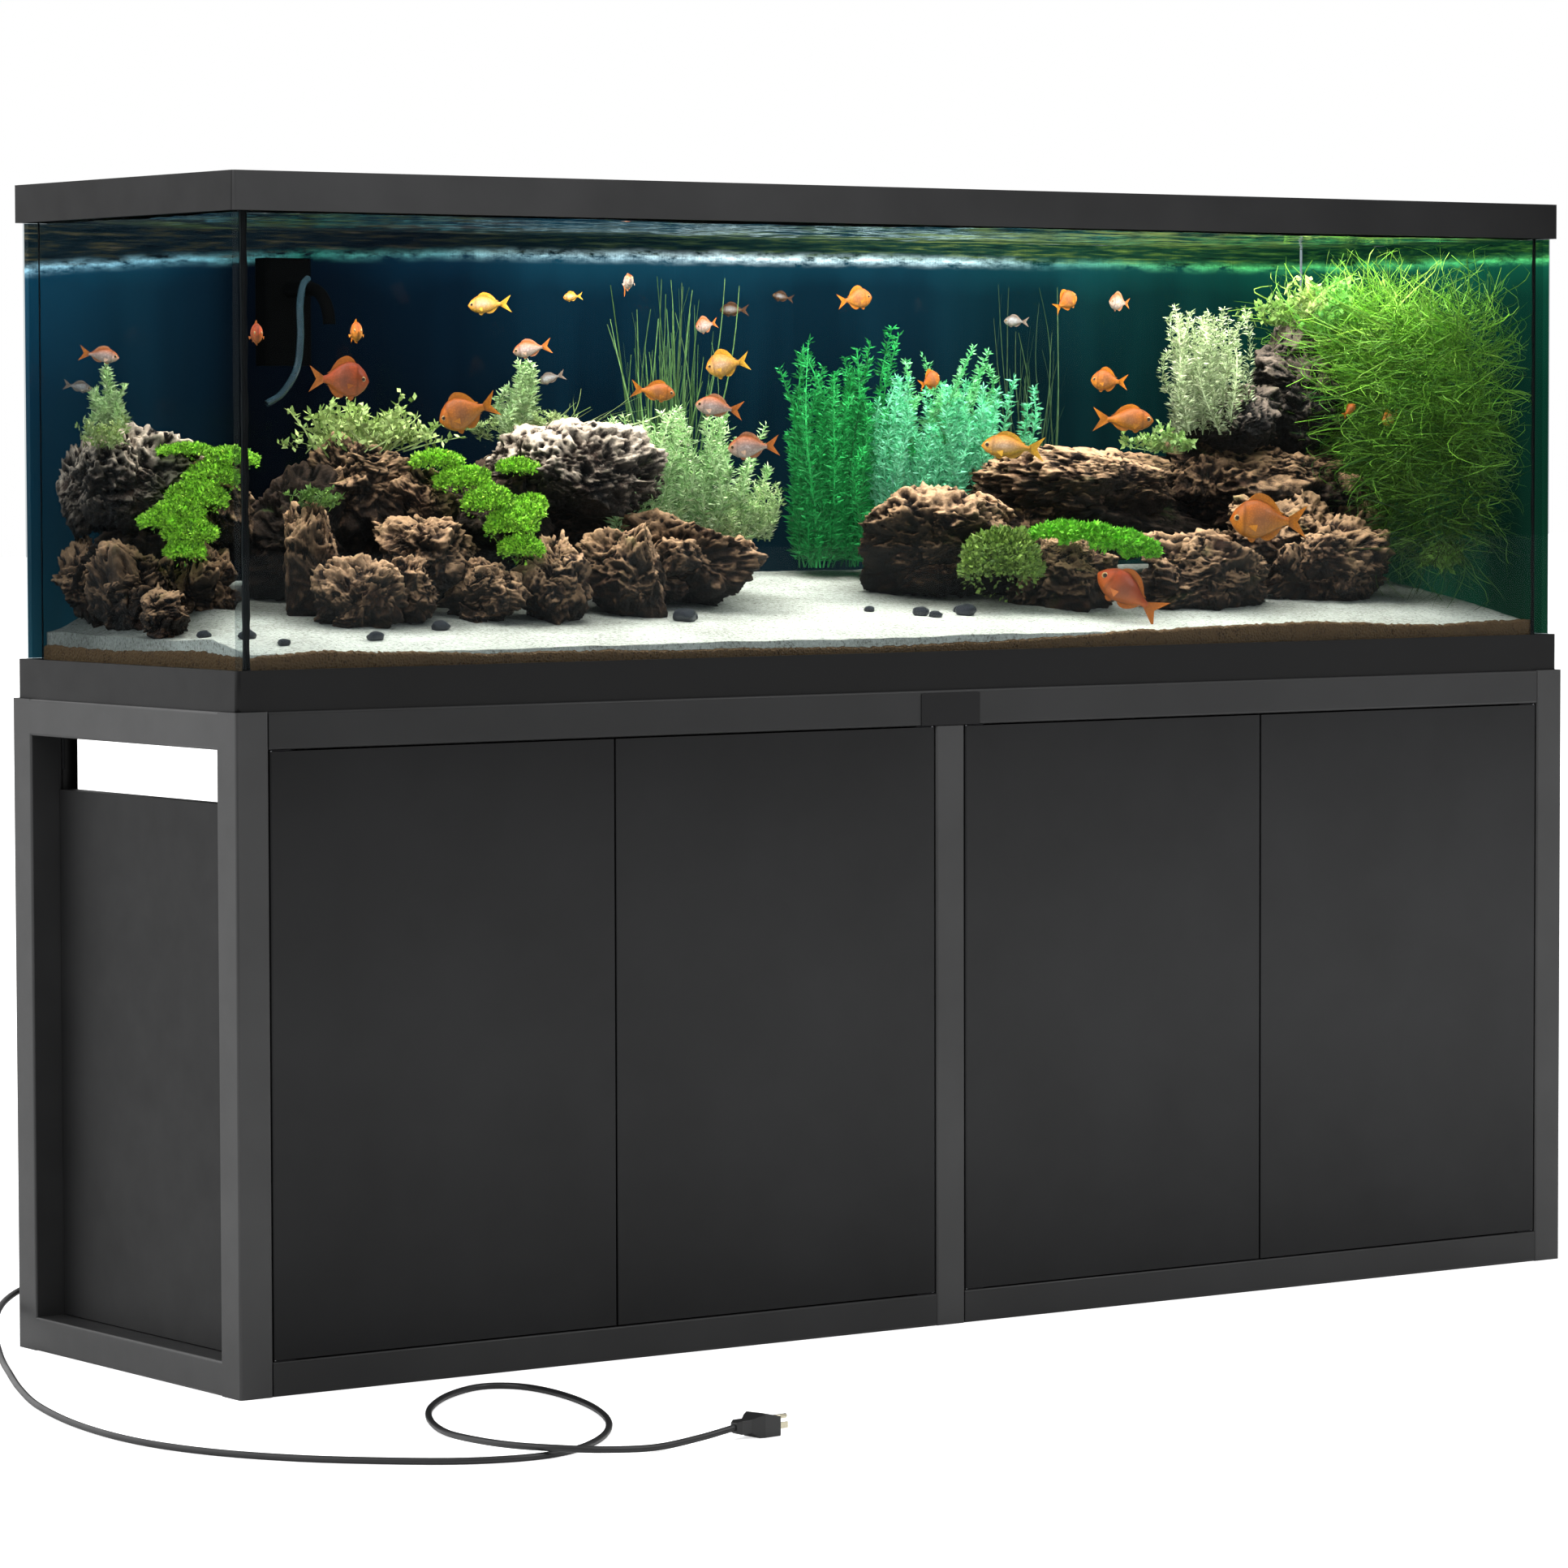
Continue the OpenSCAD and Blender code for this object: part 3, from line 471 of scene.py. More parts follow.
def sand_material():
    """White sand with grey and bright grains."""
    s = Shade("sand")
    speck = s.noise(270, 3, 0.7)
    colour = s.mix(s.grey(s.noise(11, 4), 0.3, 0.7), (0.54, 0.55, 0.49), (0.78, 0.81, 0.74))
    colour = s.mix(s.grey(speck, 0.53, 0.66, 0, 0.7), colour, (0.16, 0.14, 0.11))
    colour = s.mix(s.grey(speck, 0.46, 0.34, 0, 0.8), colour, (0.92, 0.91, 0.86))
    colour = s.mix(1.0, colour, s.tint(), "MULTIPLY")
    s.set(base=colour, rough=0.85, spec=0.25)
    s.bump(s.cells(900), 0.0011, 0.8)
    return s.mat


def soil_material():
    """Coarse brown grains."""
    s = Shade("soil_layer")
    grains = s.cells(330)
    colour = s.ramp(s.math("ADD", grains, s.noise(90, 4)), [
        (0.3, (0.012, 0.007, 0.003)), (0.6, (0.07, 0.035, 0.012)), (0.9, (0.17, 0.095, 0.04))])
    s.set(base=colour, rough=0.8, spec=0.3)
    s.bump(grains, 0.0018, 1.0)
    return s.mat


def leaf_material(name, glow, rough=0.5):
    """Leaves and stalks: colour from the tint, veined and mottled, with a painted glow of that colour as if
    lit through.
    """
    s = Shade(name)
    mottled = s.mix(s.grey(s.noise(130, 3), 0.3, 0.7), (0.62, 0.62, 0.55), (1.25, 1.25, 1.15))
    colour = s.mix(1.0, s.tint(), mottled, "MULTIPLY")
    s.set(base=colour, rough=rough, spec=0.35, glow=colour, glow_strength=glow)
    s.bump(s.noise(500, 2), 0.0005, 0.4)
    return s.mat


def fish_material():
    s = Shade("fish_skin")
    scales = s.cells(420)
    colour = s.mix(s.grey(scales, 0.1, 0.6, 0, 0.35), s.tint(), (0.16, 0.045, 0.01))
    # A faint painted glow of the skin's own colour.
    s.set(base=colour, rough=0.3, spec=0.5, glow=colour, glow_strength=0.08)
    s.bump(scales, 0.0004, 0.5)
    return s.mat


camera()

# ---- mains cord
# Points of the lead in millimetres, from the gland to the plug
CORD = [(-845, 246, 62), (-845, 264, 62), (-850, 280, 61), (-863, 291, 60), (-882, 294, 57),
        (-905, 287, 52), (-930, 270, 44), (-952, 244, 33), (-972, 208, 19), (-990, 166, 8),
        (-1008, 124, 3.6), (-1035, 62, 3.6), (-1082, -50, 3.6), (-1122, -165, 3.6),
        (-1148, -295, 3.6), (-1150, -415, 3.6), (-1124, -515, 3.6), (-1074, -600, 3.6),
        (-1010, -667, 3.6), (-950, -712, 3.6), (-885, -731, 3.6), (-826, -718, 3.6),
        (-762, -670, 3.6), (-706, -598, 3.6), (-666, -510, 3.6), (-646, -420, 3.6),
        (-650, -352, 3.6), (-684, -326, 3.6), (-742, -354, 3.6), (-802, -413, 3.6),
        (-846, -482, 3.6), (-878, -562, 5), (-892, -640, 9), (-887, -700, 11.2),
        (-862, -740, 11.2), (-820, -758, 8), (-760, -760, 4.5), (-700, -751, 7),
        (-655, -746, 12)]
CORD_D = 7 * MM


def smooth_line(points, steps):
    """Catmull-Rom through the points."""
    p = np.asarray(points, float)
    p = np.vstack([2 * p[0] - p[1], p, 2 * p[-1] - p[-2]])
    out = []
    for k in range(1, len(p) - 2):
        a, b, c, d = p[k - 1:k + 3]
        for t in np.arange(steps) / steps:
            out.append(0.5 * (2 * b + (c - a) * t + (2 * a - 5 * b + 4 * c - d) * t * t
                              + (3 * b - a - 3 * c + d) * t ** 3))
    out.append(p[-2])
    return np.array(out)


cord_black = coated("cord_black", (0.010, 0.010, 0.011), 0.42, grain=1400, spec=0.5)


def mains_cord():
    """The free cord along its points, from the gland at the back to the plug."""
    line = smooth_line(CORD, 6) * MM
    curve = bpy.data.curves.new("mains_cord", "CURVE")
    curve.dimensions = "3D"
    curve.bevel_depth = CORD_D / 2
    curve.bevel_resolution = 4
    curve.use_fill_caps = True
    spline = curve.splines.new("POLY")
    spline.points.add(len(line) - 1)
    spline.points.foreach_set("co", np.hstack([line, np.ones((len(line), 1))]).ravel())
    spline.use_smooth = True
    curve.materials.append(cord_black)
    obj = bpy.data.objects.new("mains_cord", curve)
    scene.collection.objects.link(obj)
    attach(obj, ROOT)
    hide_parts("power_cord")


mains_cord()


# ---- CAD pieces
def clean_edges(obj, width, segments=2):
    """Joins the imported corners and gives the edges a small round."""
    weld = obj.modifiers.new("weld", "WELD")
    weld.merge_threshold = 0.00002
    bevel = obj.modifiers.new("round", "BEVEL")
    bevel.width = width
    bevel.segments = segments
    bevel.limit_method = "ANGLE"
    bevel.angle_limit = math.radians(40)
    bevel.harden_normals = True
    bevel.use_clamp_overlap = True


def numbered(name):
    """The four CAD nodes of that name."""
    return ["%s_%d" % (name, k) for k in range(1, 5)]


def dress(material, *names, edge=0.0, segments=2):
    """Gives CAD nodes a material and, with edge, rounded edges of that width."""
    for name in names:
        obj = nodes[name]
        obj.data.materials.clear()
        obj.data.materials.append(material)
        if edge:
            clean_edges(obj, edge, segments)


# The front and sheen values below paint light: the faces to the front lighter along the stand, the doors
# lightest halfway up.
frame_black = coated("frame_black", (0.024, 0.0242, 0.0248), 0.40, grain=1100, front=(1.03, 1.12))
dress(frame_black, "end_frame_left", "end_frame_right", "centre_post_front",
      "centre_post_rear", edge=0.0009)
dress(coated("rail_black", (0.013, 0.0132, 0.0138), 0.44, 1100, spec=0.36, front=(0.88, 1.22)),
      "front_top_rail", "rear_top_rail", "front_bottom_rails", "rear_bottom_rails",
      edge=0.0009)
dress(coated("bracket_black", (0.014, 0.0145, 0.016), 0.5), "cross_braces",
      "corner_brackets", "panel_cleats", "strip_brackets", edge=0.0004)
panel_black = coated("panel_black", (0.010, 0.0102, 0.0106), 0.55, grain=700, spec=0.24)
dress(panel_black, "side_panel_left", "side_panel_right", "back_panels", "floor_panels",
      edge=0.0006)
# Painted sheen on the doors: lightest halfway up, darker at top and bottom.
door_black = coated("door_black", (0.0075, 0.0078, 0.0085), 0.5, 800, spec=0.3, front=(1.02, 1.5),
                    sheen=(0.04, 0.68))
dress(door_black, *numbered("door"), edge=0.0007)
dress(coated("badge_black", (0.0085, 0.0085, 0.009), 0.38, grain=1500, spec=0.2), "badge_plate",
      edge=0.0005)
steel = metal("fitting_steel", (0.56, 0.57, 0.59), 0.33)
dress(steel, *numbered("door_fittings"), "hinge_pins", "bracket_screws")
dress(metal("black_steel", (0.022, 0.022, 0.024), 0.45), "hinge_leaves")
dress(coated("latch_grey", (0.16, 0.165, 0.17), 0.42, grain=1300), "latch_housings",
      edge=0.0006)
dress(metal("plunger_steel", (0.5, 0.5, 0.52), 0.3), *numbered("latch_plunger"), edge=0.0004)
dress(coated("strip_black", (0.012, 0.012, 0.013), 0.45, grain=520, grain_depth=0.0002),
      "strip_housing", edge=0.0006)
dress(coated("outlet_grey", (0.055, 0.056, 0.06), 0.5, grain=650, grain_depth=0.00012),
      "strip_outlets", edge=0.0003)
dress(coated("bezel_black", (0.01, 0.01, 0.011), 0.3, grain=1500), "rocker_bezel",
      edge=0.0003)
dress(cord_black, "strip_lead", "power_cord")
dress(coated("gland_black", (0.012, 0.012, 0.013), 0.4, grain=1200), "cord_gland",
      edge=0.0004)
dress(coated("plug_black", (0.012, 0.012, 0.013), 0.36, grain=1300), "plug_body",
      edge=0.0011, segments=3)
dress(metal("pin_brass", (0.72, 0.66, 0.5), 0.25), "plug_pins", edge=0.0003)
# Painted light: the hood's front faces much lighter at the left end than at the right end.
dress(coated("rim_black", (0.0165, 0.0167, 0.0172), 0.5, spec=0.12, front=(2.3, 0.70)),
      "tank_top_rim", edge=0.0012)
dress(coated("base_rim_black", (0.003, 0.0031, 0.0033), 0.42, grain=900, spec=0.22),
      "tank_base_rim", edge=0.0012)
dress(coated("lid_black", (0.014, 0.0142, 0.015), 0.35, grain=900), "lid_left", "lid_right",
      edge=0.0008)
dress(metal("rod_steel", (0.45, 0.45, 0.47), 0.3), "lid_rods")


def rocker_material():
    s = Shade("rocker_red")
    colour = s.mix(s.grey(s.noise(260, 3), 0.3, 0.7), (0.42, 0.008, 0.008), (0.62, 0.02, 0.015))
    s.set(base=colour, rough=0.16, spec=0.7, coat=0.6, coat_rough=0.08, glow=colour,
          glow_strength=0.25)
    s.bump(s.noise(900, 2), 0.00005, 0.3)
    return s.mat


dress(rocker_material(), "rocker_switch", edge=0.0008, segments=3)


def light_material():
    """A grey aluminium bar with a row of small lamps underneath."""
    s = Shade("light_bar")
    lit = s.grey(s.cells(45), 0.22, 0.30, 1, 0)
    under = s.math("LESS_THAN", s.axes("Normal")[2], -0.5)
    s.set(base=(0.42, 0.43, 0.45), rough=0.35, metal=0.6,
          glow=s.mix(s.math("MULTIPLY", lit, under), (0, 0, 0), (1.0, 0.98, 0.92)),
          glow_strength=3.0)
    s.bump(s.noise(300, 3, 0.5, (0.05, 1, 1)), 0.00005, 0.4)
    return s.mat


dress(light_material(), "light_bar")
PANE = (0.84, 0.87, 0.88)
dress(glass_material("pane_glass", PANE, (0.09, 0.10, 0.105)), "glass_front", "glass_back",
      "glass_bottom")
dress(glass_material("end_glass", PANE, (0.012, 0.014, 0.016)), "glass_left", "glass_right")
dress(film_material(), "background_film")
dress(coated("filter_black", (0.0005, 0.0006, 0.0007), 0.6, spec=0.02), "filter_unit",
      edge=0.001)


def door_gap_shade():
    """Soft black strips behind the top edges of the doors, under the front rail, that paint shade into the
    gap there.
    """
    s = plain("gap_shade_black", (0.004,) * 3, (0.012,) * 3, 300, 0.9, 0.15, (900, 0.0005, 0.8, 0),
              cells=True)
    low_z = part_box("front_top_rail")[0][2] - 0.0077
    section = [(0.0, 0.0), (0.0018, 0.0005), (0.0022, 0.0038), (0.0018, 0.0071), (0.0, 0.0076)]
    gap_strips = Gather()
    for door in numbered("door"):
        low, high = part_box(door)
        y = high[1] + 0.0012
        extruded(gap_strips, section, np.linspace(low[0] - 0.001, high[0] + 0.001, 60),
                 lambda x, a, b: (x, y + a + 0.0002 * math.sin(x * 160), low_z + b))
    gap_strips.object("door_gap_shade", s.mat, "frame_black")


def slot_shade_strips():
    """Black folded strips that show beside the rear posts, above the side panels, as painted shade of a
    deeper recess there.
    """
    s = plain("slot_shade_black", (0.002,) * 3, (0.006,) * 3, 40, 0.6, 0.2, (900, 0.00006, 0.5, 2))
    inner_x = -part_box("end_frame_left")[1][0]
    front_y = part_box("centre_post_rear")[0][1] + 0.0015
    section = [(0, 0), (0.019, 0), (0.019, 0.012), (0.0175, 0.012), (0.0175, 0.0015), (0, 0.0015)]
    z = np.linspace(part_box("side_panel_left")[1][2] - 0.004,
                    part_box("rear_top_rail")[0][2] - 0.0005, 24)
    strips = Gather()
    for end in (-1, 1):
        extruded(strips, section, z, lambda zz, a, b: (end * (inner_x - a), front_y + b, zz),
                 flip=end < 0)
    strips.object("slot_shade_strips", s.mat, "frame_black")


# ---- tank inside
# Half the tank's inside between its panes, and a little short of them
PANE_X, PANE_Y = 0.9008, 0.2182
INSIDE_X, INSIDE_Y = 0.8995, 0.2165
# Heights of its floor, its water and its sand
FLOOR_Z, SURFACE_Z = 0.7375, 1.2325
SAND_FRONT, SAND_BACK = 0.772, 0.840


def sand_height(x, y):
    half_depth = 0.218
    t = (y + half_depth) / (2 * half_depth)
    base = SAND_FRONT + (SAND_BACK - SAND_FRONT) * (t * 0.72 + 0.28 * np.sin(t * math.pi / 2))
    near_left = np.clip((x + 0.90) / 0.13, 0, 1)
    near_left = near_left * near_left * (3 - 2 * near_left)
    base = np.minimum(base, 0.786 + (base - 0.786) * near_left)
    p = np.stack([x * 5, y * 6, np.zeros_like(x)], -1)
    return base + 0.006 * fbm(p, 3, 5) + 0.0012 * fbm(p * 12, 3, 9)


def white_sand():
    """White sand over the tank's floor, with a skirt down to the glass; darker
    around the stones that stand on it."""
    nx, ny = 520, 150
    gx, gy = np.meshgrid(np.linspace(-INSIDE_X + 0.004, INSIDE_X, nx),
                         np.linspace(-INSIDE_Y + 0.004, INSIDE_Y, ny))
    z = sand_height(gx, gy)
    top = np.stack([gx, gy, z], -1).reshape(-1, 3)
    shade = np.ones((len(top), 3))
    for x0, x1, y, half_y, z0, _, _ in ROCKS["rocks_left"] + ROCKS["rocks_right"]:
        if z0 > 860:
            continue
        cx, cy = (x0 + x1) / 2 * MM, y * MM
        rx, ry = (x1 - x0) / 2 * MM + 0.02, half_y * MM + 0.02
        d = np.sqrt(((top[:, 0] - cx) / rx) ** 2 + ((top[:, 1] - cy) / ry) ** 2)
        shade *= (1 - 0.45 * np.clip(1.45 - d, 0, 0.5))[:, None] ** 1.2
    edge = np.concatenate([np.arange(nx), np.arange(1, ny) * nx + nx - 1,
                           (ny - 1) * nx + np.arange(nx - 2, -1, -1),
                           np.arange(ny - 2, 0, -1) * nx])
    low = top[edge].copy()
    low[:, 2] = FLOOR_Z
    start = len(top)
    k = np.arange(len(edge))
    n = (k + 1) % len(edge)
    wall = np.stack([edge[k], start + k, start + n, edge[n]], -1)
    obj = mesh_object("white_sand", np.vstack([top, low]), [grid_faces(ny, nx), wall],
                      sand_material(), colours=np.vstack([shade, shade[edge]]))
    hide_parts("soil_bed")


def soil_layer():
    """The brown soil that shows against the panes, with a wavy top."""
    path = [(-INSIDE_X, INSIDE_Y), (-INSIDE_X, -INSIDE_Y), (INSIDE_X, -INSIDE_Y)]
    line = np.vstack([np.linspace(a, b, n) for a, b, n in zip(path, path[1:], (130, 900))])
    x, y = line.T
    at_front = y < -INSIDE_Y + 0.001
    front = np.interp(x, [-0.90, -0.80, -0.62, -0.45, -0.1, 0.12, 0.3, 0.55, 0.75, 0.9],
                      [0.770, 0.776, 0.770, 0.769, 0.765, 0.768, 0.775, 0.780, 0.772, 0.776])
    side = np.interp(y, [-0.22, -0.1, 0.05, 0.22], [0.770, 0.776, 0.771, 0.774])
    top = np.where(at_front, front, side)
    p = np.stack([x * 30, y * 30, np.zeros_like(x)], -1)
    top = top + 0.0018 * fbm(p, 4, 3) + 0.0012 * fbm(p * 8, 2, 4)
    inward_x, inward_y = np.where(at_front, 0, 0.006), np.where(at_front, 0.006, 0)
    levels = [(FLOOR_Z, 0, 0), (0.752, 0, 0.0), (None, 0.0, -0.002), (None, 0.3, 0.0),
              (None, 1.0, 0.0012), (None, 1.6, -0.004)]
    rows = []
    for z, inset, lift in levels:
        zz = top + lift if z is None else np.full(len(line), z)
        grit = 0.0007 * fbm(np.stack([x * 300, y * 300, zz * 300], -1), 2, 8)
        rows.append(np.stack([x + inward_x * inset, y + inward_y * inset, zz + grit], -1))
    obj = mesh_object("soil_layer", np.vstack(rows), grid_faces(len(rows), len(line)),
                      soil_material())


# Left and right pile, in millimetres: x low, x high, y middle, half depth, z low, z high, stone
ROCKS = {
    "rocks_left": [
        (-662, -530, 60, 55, 885, 1008, "brown"), (-590, -490, 30, 48, 870, 972, "brown"),
        (-612, -495, -20, 48, 812, 916, "brown"), (-732, -660, 0, 44, 790, 936, "brown"),
        (-722, -612, -60, 42, 776, 876, "brown"), (-636, -566, -55, 36, 788, 874, "brown"),
        (-432, -196, 60, 92, 905, 1022, "grey"), (-550, -452, -60, 44, 777, 870, "brown"),
        (-470, -372, -70, 44, 774, 898, "brown"), (-364, -258, -40, 52, 780, 906, "brown"),
        (-288, -92, 0, 72, 795, 920, "brown"), (-410, -190, 90, 80, 825, 950, "dark"),
        (-510, -350, 60, 76, 830, 985, "dark"), (-660, -430, 105, 70, 800, 965, "dark"),
        (-730, -560, 90, 70, 800, 975, "dark"), (-897, -800, 150, 64, 895, 1008, "grey"),
        (-882, -742, 140, 72, 892, 1018, "grey"), (-800, -722, 90, 56, 860, 992, "brown"),
        (-897, -800, 110, 76, 780, 892, "brown"), (-836, -742, 70, 54, 780, 890, "brown"),
        (-896, -700, 145, 66, 800, 950, "dark"), (-896, -845, 5, 40, 776, 846, "brown"),
        (-898, -838, 178, 40, 885, 1004, "grey"), (-898, -836, 176, 42, 784, 896, "brown"),
    ],
    "rocks_right": [
        (52, 312, 20, 66, 808, 948, "brown"), (235, 420, 75, 68, 835, 985, "brown"),
        (262, 570, 60, 80, 890, 990, "brown"), (330, 670, 85, 86, 845, 955, "dark"),
        (700, 866, 95, 78, 950, 1150, "black"), (565, 870, 85, 84, 880, 1026, "brown"),
        (245, 398, -45, 50, 774, 888, "brown"), (402, 622, -60, 52, 772, 890, "brown"),
        (625, 812, -35, 60, 774, 905, "brown"), (770, 890, 50, 60, 800, 955, "brown"),
        (740, 888, 60, 64, 880, 990, "dark"), (555, 775, 20, 62, 800, 935, "brown"),
        (600, 745, 70, 60, 975, 1065, "black"), (140, 430, 60, 66, 800, 915, "dark"),
    ],
}


def unit_sphere(level):
    bm = bmesh.new()
    bmesh.ops.create_icosphere(bm, subdivisions=level, radius=1.0)
    v = np.array([p.co[:] for p in bm.verts])
    f = np.array([[p.index for p in q.verts] for q in bm.faces])
    bm.free()
    return v, f


SPHERE = unit_sphere(6)
SMALL_SPHERE = unit_sphere(5)


def stone_shape(ball, mid, half, seed):
    """A block cut by planes, then roughened with lumps, ridges and pits."""
    v = ball[0]
    rng = np.random.default_rng(seed)
    planes = rng.normal(size=(13, 3))
    planes[:, 2] *= 0.9
    planes /= np.linalg.norm(planes, axis=1)[:, None]
    reach = rng.uniform(0.55, 0.98, 13)
    dots = v @ planes.T
    r = np.min(np.where(dots > 0.05, reach / np.maximum(dots, 0.05), 9), axis=1)
    r = np.minimum(r, 1.25) * (1 + 0.18 * fbm(v * 1.6, 3, seed))
    p = v * r[:, None]
    world = p * half / 60.0
    warp = np.stack([fbm(world * 1.3 + 9 * k, 2, seed + 31 + k) for k in range(3)], -1)
    turned = world + 0.45 * warp
    lumps = fbm(turned * 1.9 + seed, 4, seed + 5, 0.55)
    ridge = fbm(turned * np.array([3.0, 3.0, 5.2]) + seed, 5, seed + 9, 0.62, ridged=True)
    pits = np.maximum(fbm(turned * 9 + seed, 3, seed + 15, 0.6) - 0.10, 0)
    scale = np.clip(60.0 / half.mean(), 0.5, 1.5)
    push = 0.20 * lumps + 0.24 * ridge - 0.32 * pits
    p = p * (1 + push * scale)[:, None]
    lo, hi = p.min(0), p.max(0)
    p = (p - (lo + hi) / 2) / ((hi - lo) / 2) * half + mid
    # crest: light on ridges and lumps, dark in pits; it sets the painted shade and highlight.
    crest = 0.50 + 0.62 * ridge + 0.32 * lumps - 2.6 * pits
    return p, crest, world


def rock(pile, number, spec, material, seed):
    """One large stone with smaller ones lodged on it, as one piece, kept off the panes."""
    x0, x1, yc, half_y, z0, z1, kind = spec
    rng = np.random.default_rng(seed + 500)
    half = np.array([(x1 - x0) / 2, half_y, (z1 - z0) / 2])
    mid = np.array([(x0 + x1) / 2, yc, (z0 + z1) / 2])
    parts = [(SPHERE, mid, half, seed)]
    # The near-black stones that paint shade carry no smaller stones.
    for k in range(0 if kind == "dark" else 5):
        way = rng.normal(size=3)
        way[1] = -abs(way[1])
        way /= np.linalg.norm(way)
        size = half * rng.uniform(0.28, 0.48, 3)
        parts.append((SMALL_SPHERE, mid + way * (half - size) * rng.uniform(0.85, 1.0), size,
                      seed * 10 + k))
    stone = Gather()
    for ball, at, size, own_seed in parts:
        p, crest, world = stone_shape(ball, at, size, own_seed)
        top = np.clip((p[:, 2] - z0) / (z1 - z0), 0, 1)
        # Painted shade and highlight in the tint's red: pits and the lower part of each stone darker,
        # ridges and the upper part lighter.
        height = np.clip(crest * (0.50 + 0.68 * top), 0, 1)
        growth = np.clip(fbm(world * 2.2 + 3, 3, seed + 21) * 2.4 - 1.1, 0, 0.7) * top
        p[:, :2] = np.clip(p[:, :2], (-898, -214), (897, 214))
        stone.add(p, ball[1], np.stack([height, growth, top], -1))
    obj = stone.object("rock_%s%02d" % (pile[6], number), material, "rock_grey", MM)
    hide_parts(pile)


# ---- planting
class Leaves(Gather):
    """Gathers ribbons and leaflets into one mesh with a colour at each point."""

    def __init__(self, seed):
        super().__init__()
        self.rng = np.random.default_rng(seed)

    def ribbons(self, lines, width, colours, taper=0.15, flat=None):
        """lines is (n, k, 3); width (n,); colours (n, k, 3). A flat ribbon on each."""
        n, k, _ = lines.shape
        along = np.gradient(lines, axis=1)
        along /= np.linalg.norm(along, axis=2, keepdims=True) + 1e-9
        if flat is None:
            flat = self.rng.normal(size=(n, 3))
        across = np.cross(along, flat[:, None, :])
        across /= np.linalg.norm(across, axis=2, keepdims=True) + 1e-9
        t = np.linspace(0, 1, k)
        shape = np.where(t < 0.15, 0.6 + t / 0.15 * 0.4, 1 - (t - 0.15) / 0.85 * (1 - taper))
        w = (width[:, None] * shape[None] / 2)[..., None]
        verts = np.stack([lines - across * w, lines + across * w], 2).reshape(-1, 3)
        base = (np.arange(n)[:, None] * 2 * k + np.arange(k - 1)[None] * 2).ravel()
        faces = np.stack([base, base + 1, base + 3, base + 2], -1)
        self.add(verts, faces, np.repeat(colours.reshape(-1, 3), 2, axis=0))

    def leaflets(self, at, direction, length, width, colours, cup=0.25):
        """Small pointed leaves of two quads each, folded along the middle."""
        n = len(at)
        d = direction / (np.linalg.norm(direction, axis=1, keepdims=True) + 1e-9)
        side = np.cross(d, self.rng.normal(size=(n, 3)))
        side /= np.linalg.norm(side, axis=1, keepdims=True) + 1e-9
        up = np.cross(side, d)
        length, width = length[:, None], width[:, None]
        tip = at + d * length
        mid = at + d * length * 0.5 + up * length * cup * 0.5
        left = at + d * length * 0.45 + side * width / 2
        right = at + d * length * 0.45 - side * width / 2
        verts = np.stack([at, left, mid, right, tip], 1).reshape(-1, 3)
        base = np.arange(n)[:, None] * 5
        faces = np.concatenate([base + np.array([[0, 3, 2, 1]]), base + np.array([[1, 2, 3, 4]])])
        self.add(verts, faces, np.repeat(colours, 5, axis=0))

    def make(self, name, material, *stands_for):
        inset = np.array([INSIDE_X - 0.002, INSIDE_Y - 0.001, SURFACE_Z - 0.004])
        floor = np.array([0.001 - INSIDE_X, 0.001 - INSIDE_Y, 0.745])
        self.verts = [np.clip(v, floor, inset) for v in self.verts]
        obj = self.object(name, material, "plant_green")
        if stands_for:
            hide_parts(*stands_for)


def shades(rng, n, low, high, spread=0.12):
    """n colours between two, each a little lighter or darker."""
    t = rng.uniform(0, 1, (n, 1))
    c = np.array(low) * (1 - t) + np.array(high) * t
    return np.clip(c * (1 + rng.normal(0, spread, (n, 1))), 0.001, 1)


def arching(rng, root, tip, n, bend, k=9):
    """Curved lines from each root to each tip that bow sideways."""
    t = np.linspace(0, 1, k)[None, :, None]
    bow = rng.normal(size=(n, 1, 3)) * bend * np.array([1, 0.6, 0.25])
    sway = rng.normal(size=(n, 1, 3)) * bend * 0.35 * np.array([1, 0.6, 0.2])
    return (root[:, None] * (1 - t) + tip[:, None] * t + bow * np.sin(math.pi * t)
            + sway * np.sin(2 * math.pi * t))


def graded(colours, k, low=0.5, high=1.15):
    """Each colour k times along its line, from dark at the root to light at the tip."""
    t = np.linspace(low, high, k)[None, :, None]
    return np.clip(colours[:, None] * t, 0, 1)


def grass(leaves, x, y, z0, z1, n, spread, width, low, high, fan=1.0):
    """Long blades that fan out of a clump."""
    r = leaves.rng
    root = np.stack([r.normal(x, spread * 0.18, n), r.normal(y, spread * 0.14, n),
                     np.full(n, z0)], -1)
    reach = r.uniform(0.45, 1, n)
    tip = np.stack([root[:, 0] + r.normal(0, spread * 0.5 * fan, n),
                    root[:, 1] + r.normal(0, spread * 0.25 * fan, n),
                    z0 + (z1 - z0) * reach], -1)
    lines = arching(r, root, tip, n, spread * 0.10, 14)
    leaves.ribbons(lines, r.uniform(0.7, 1.3, n) * width,
                   graded(shades(r, n, low, high), 14), 0.25)


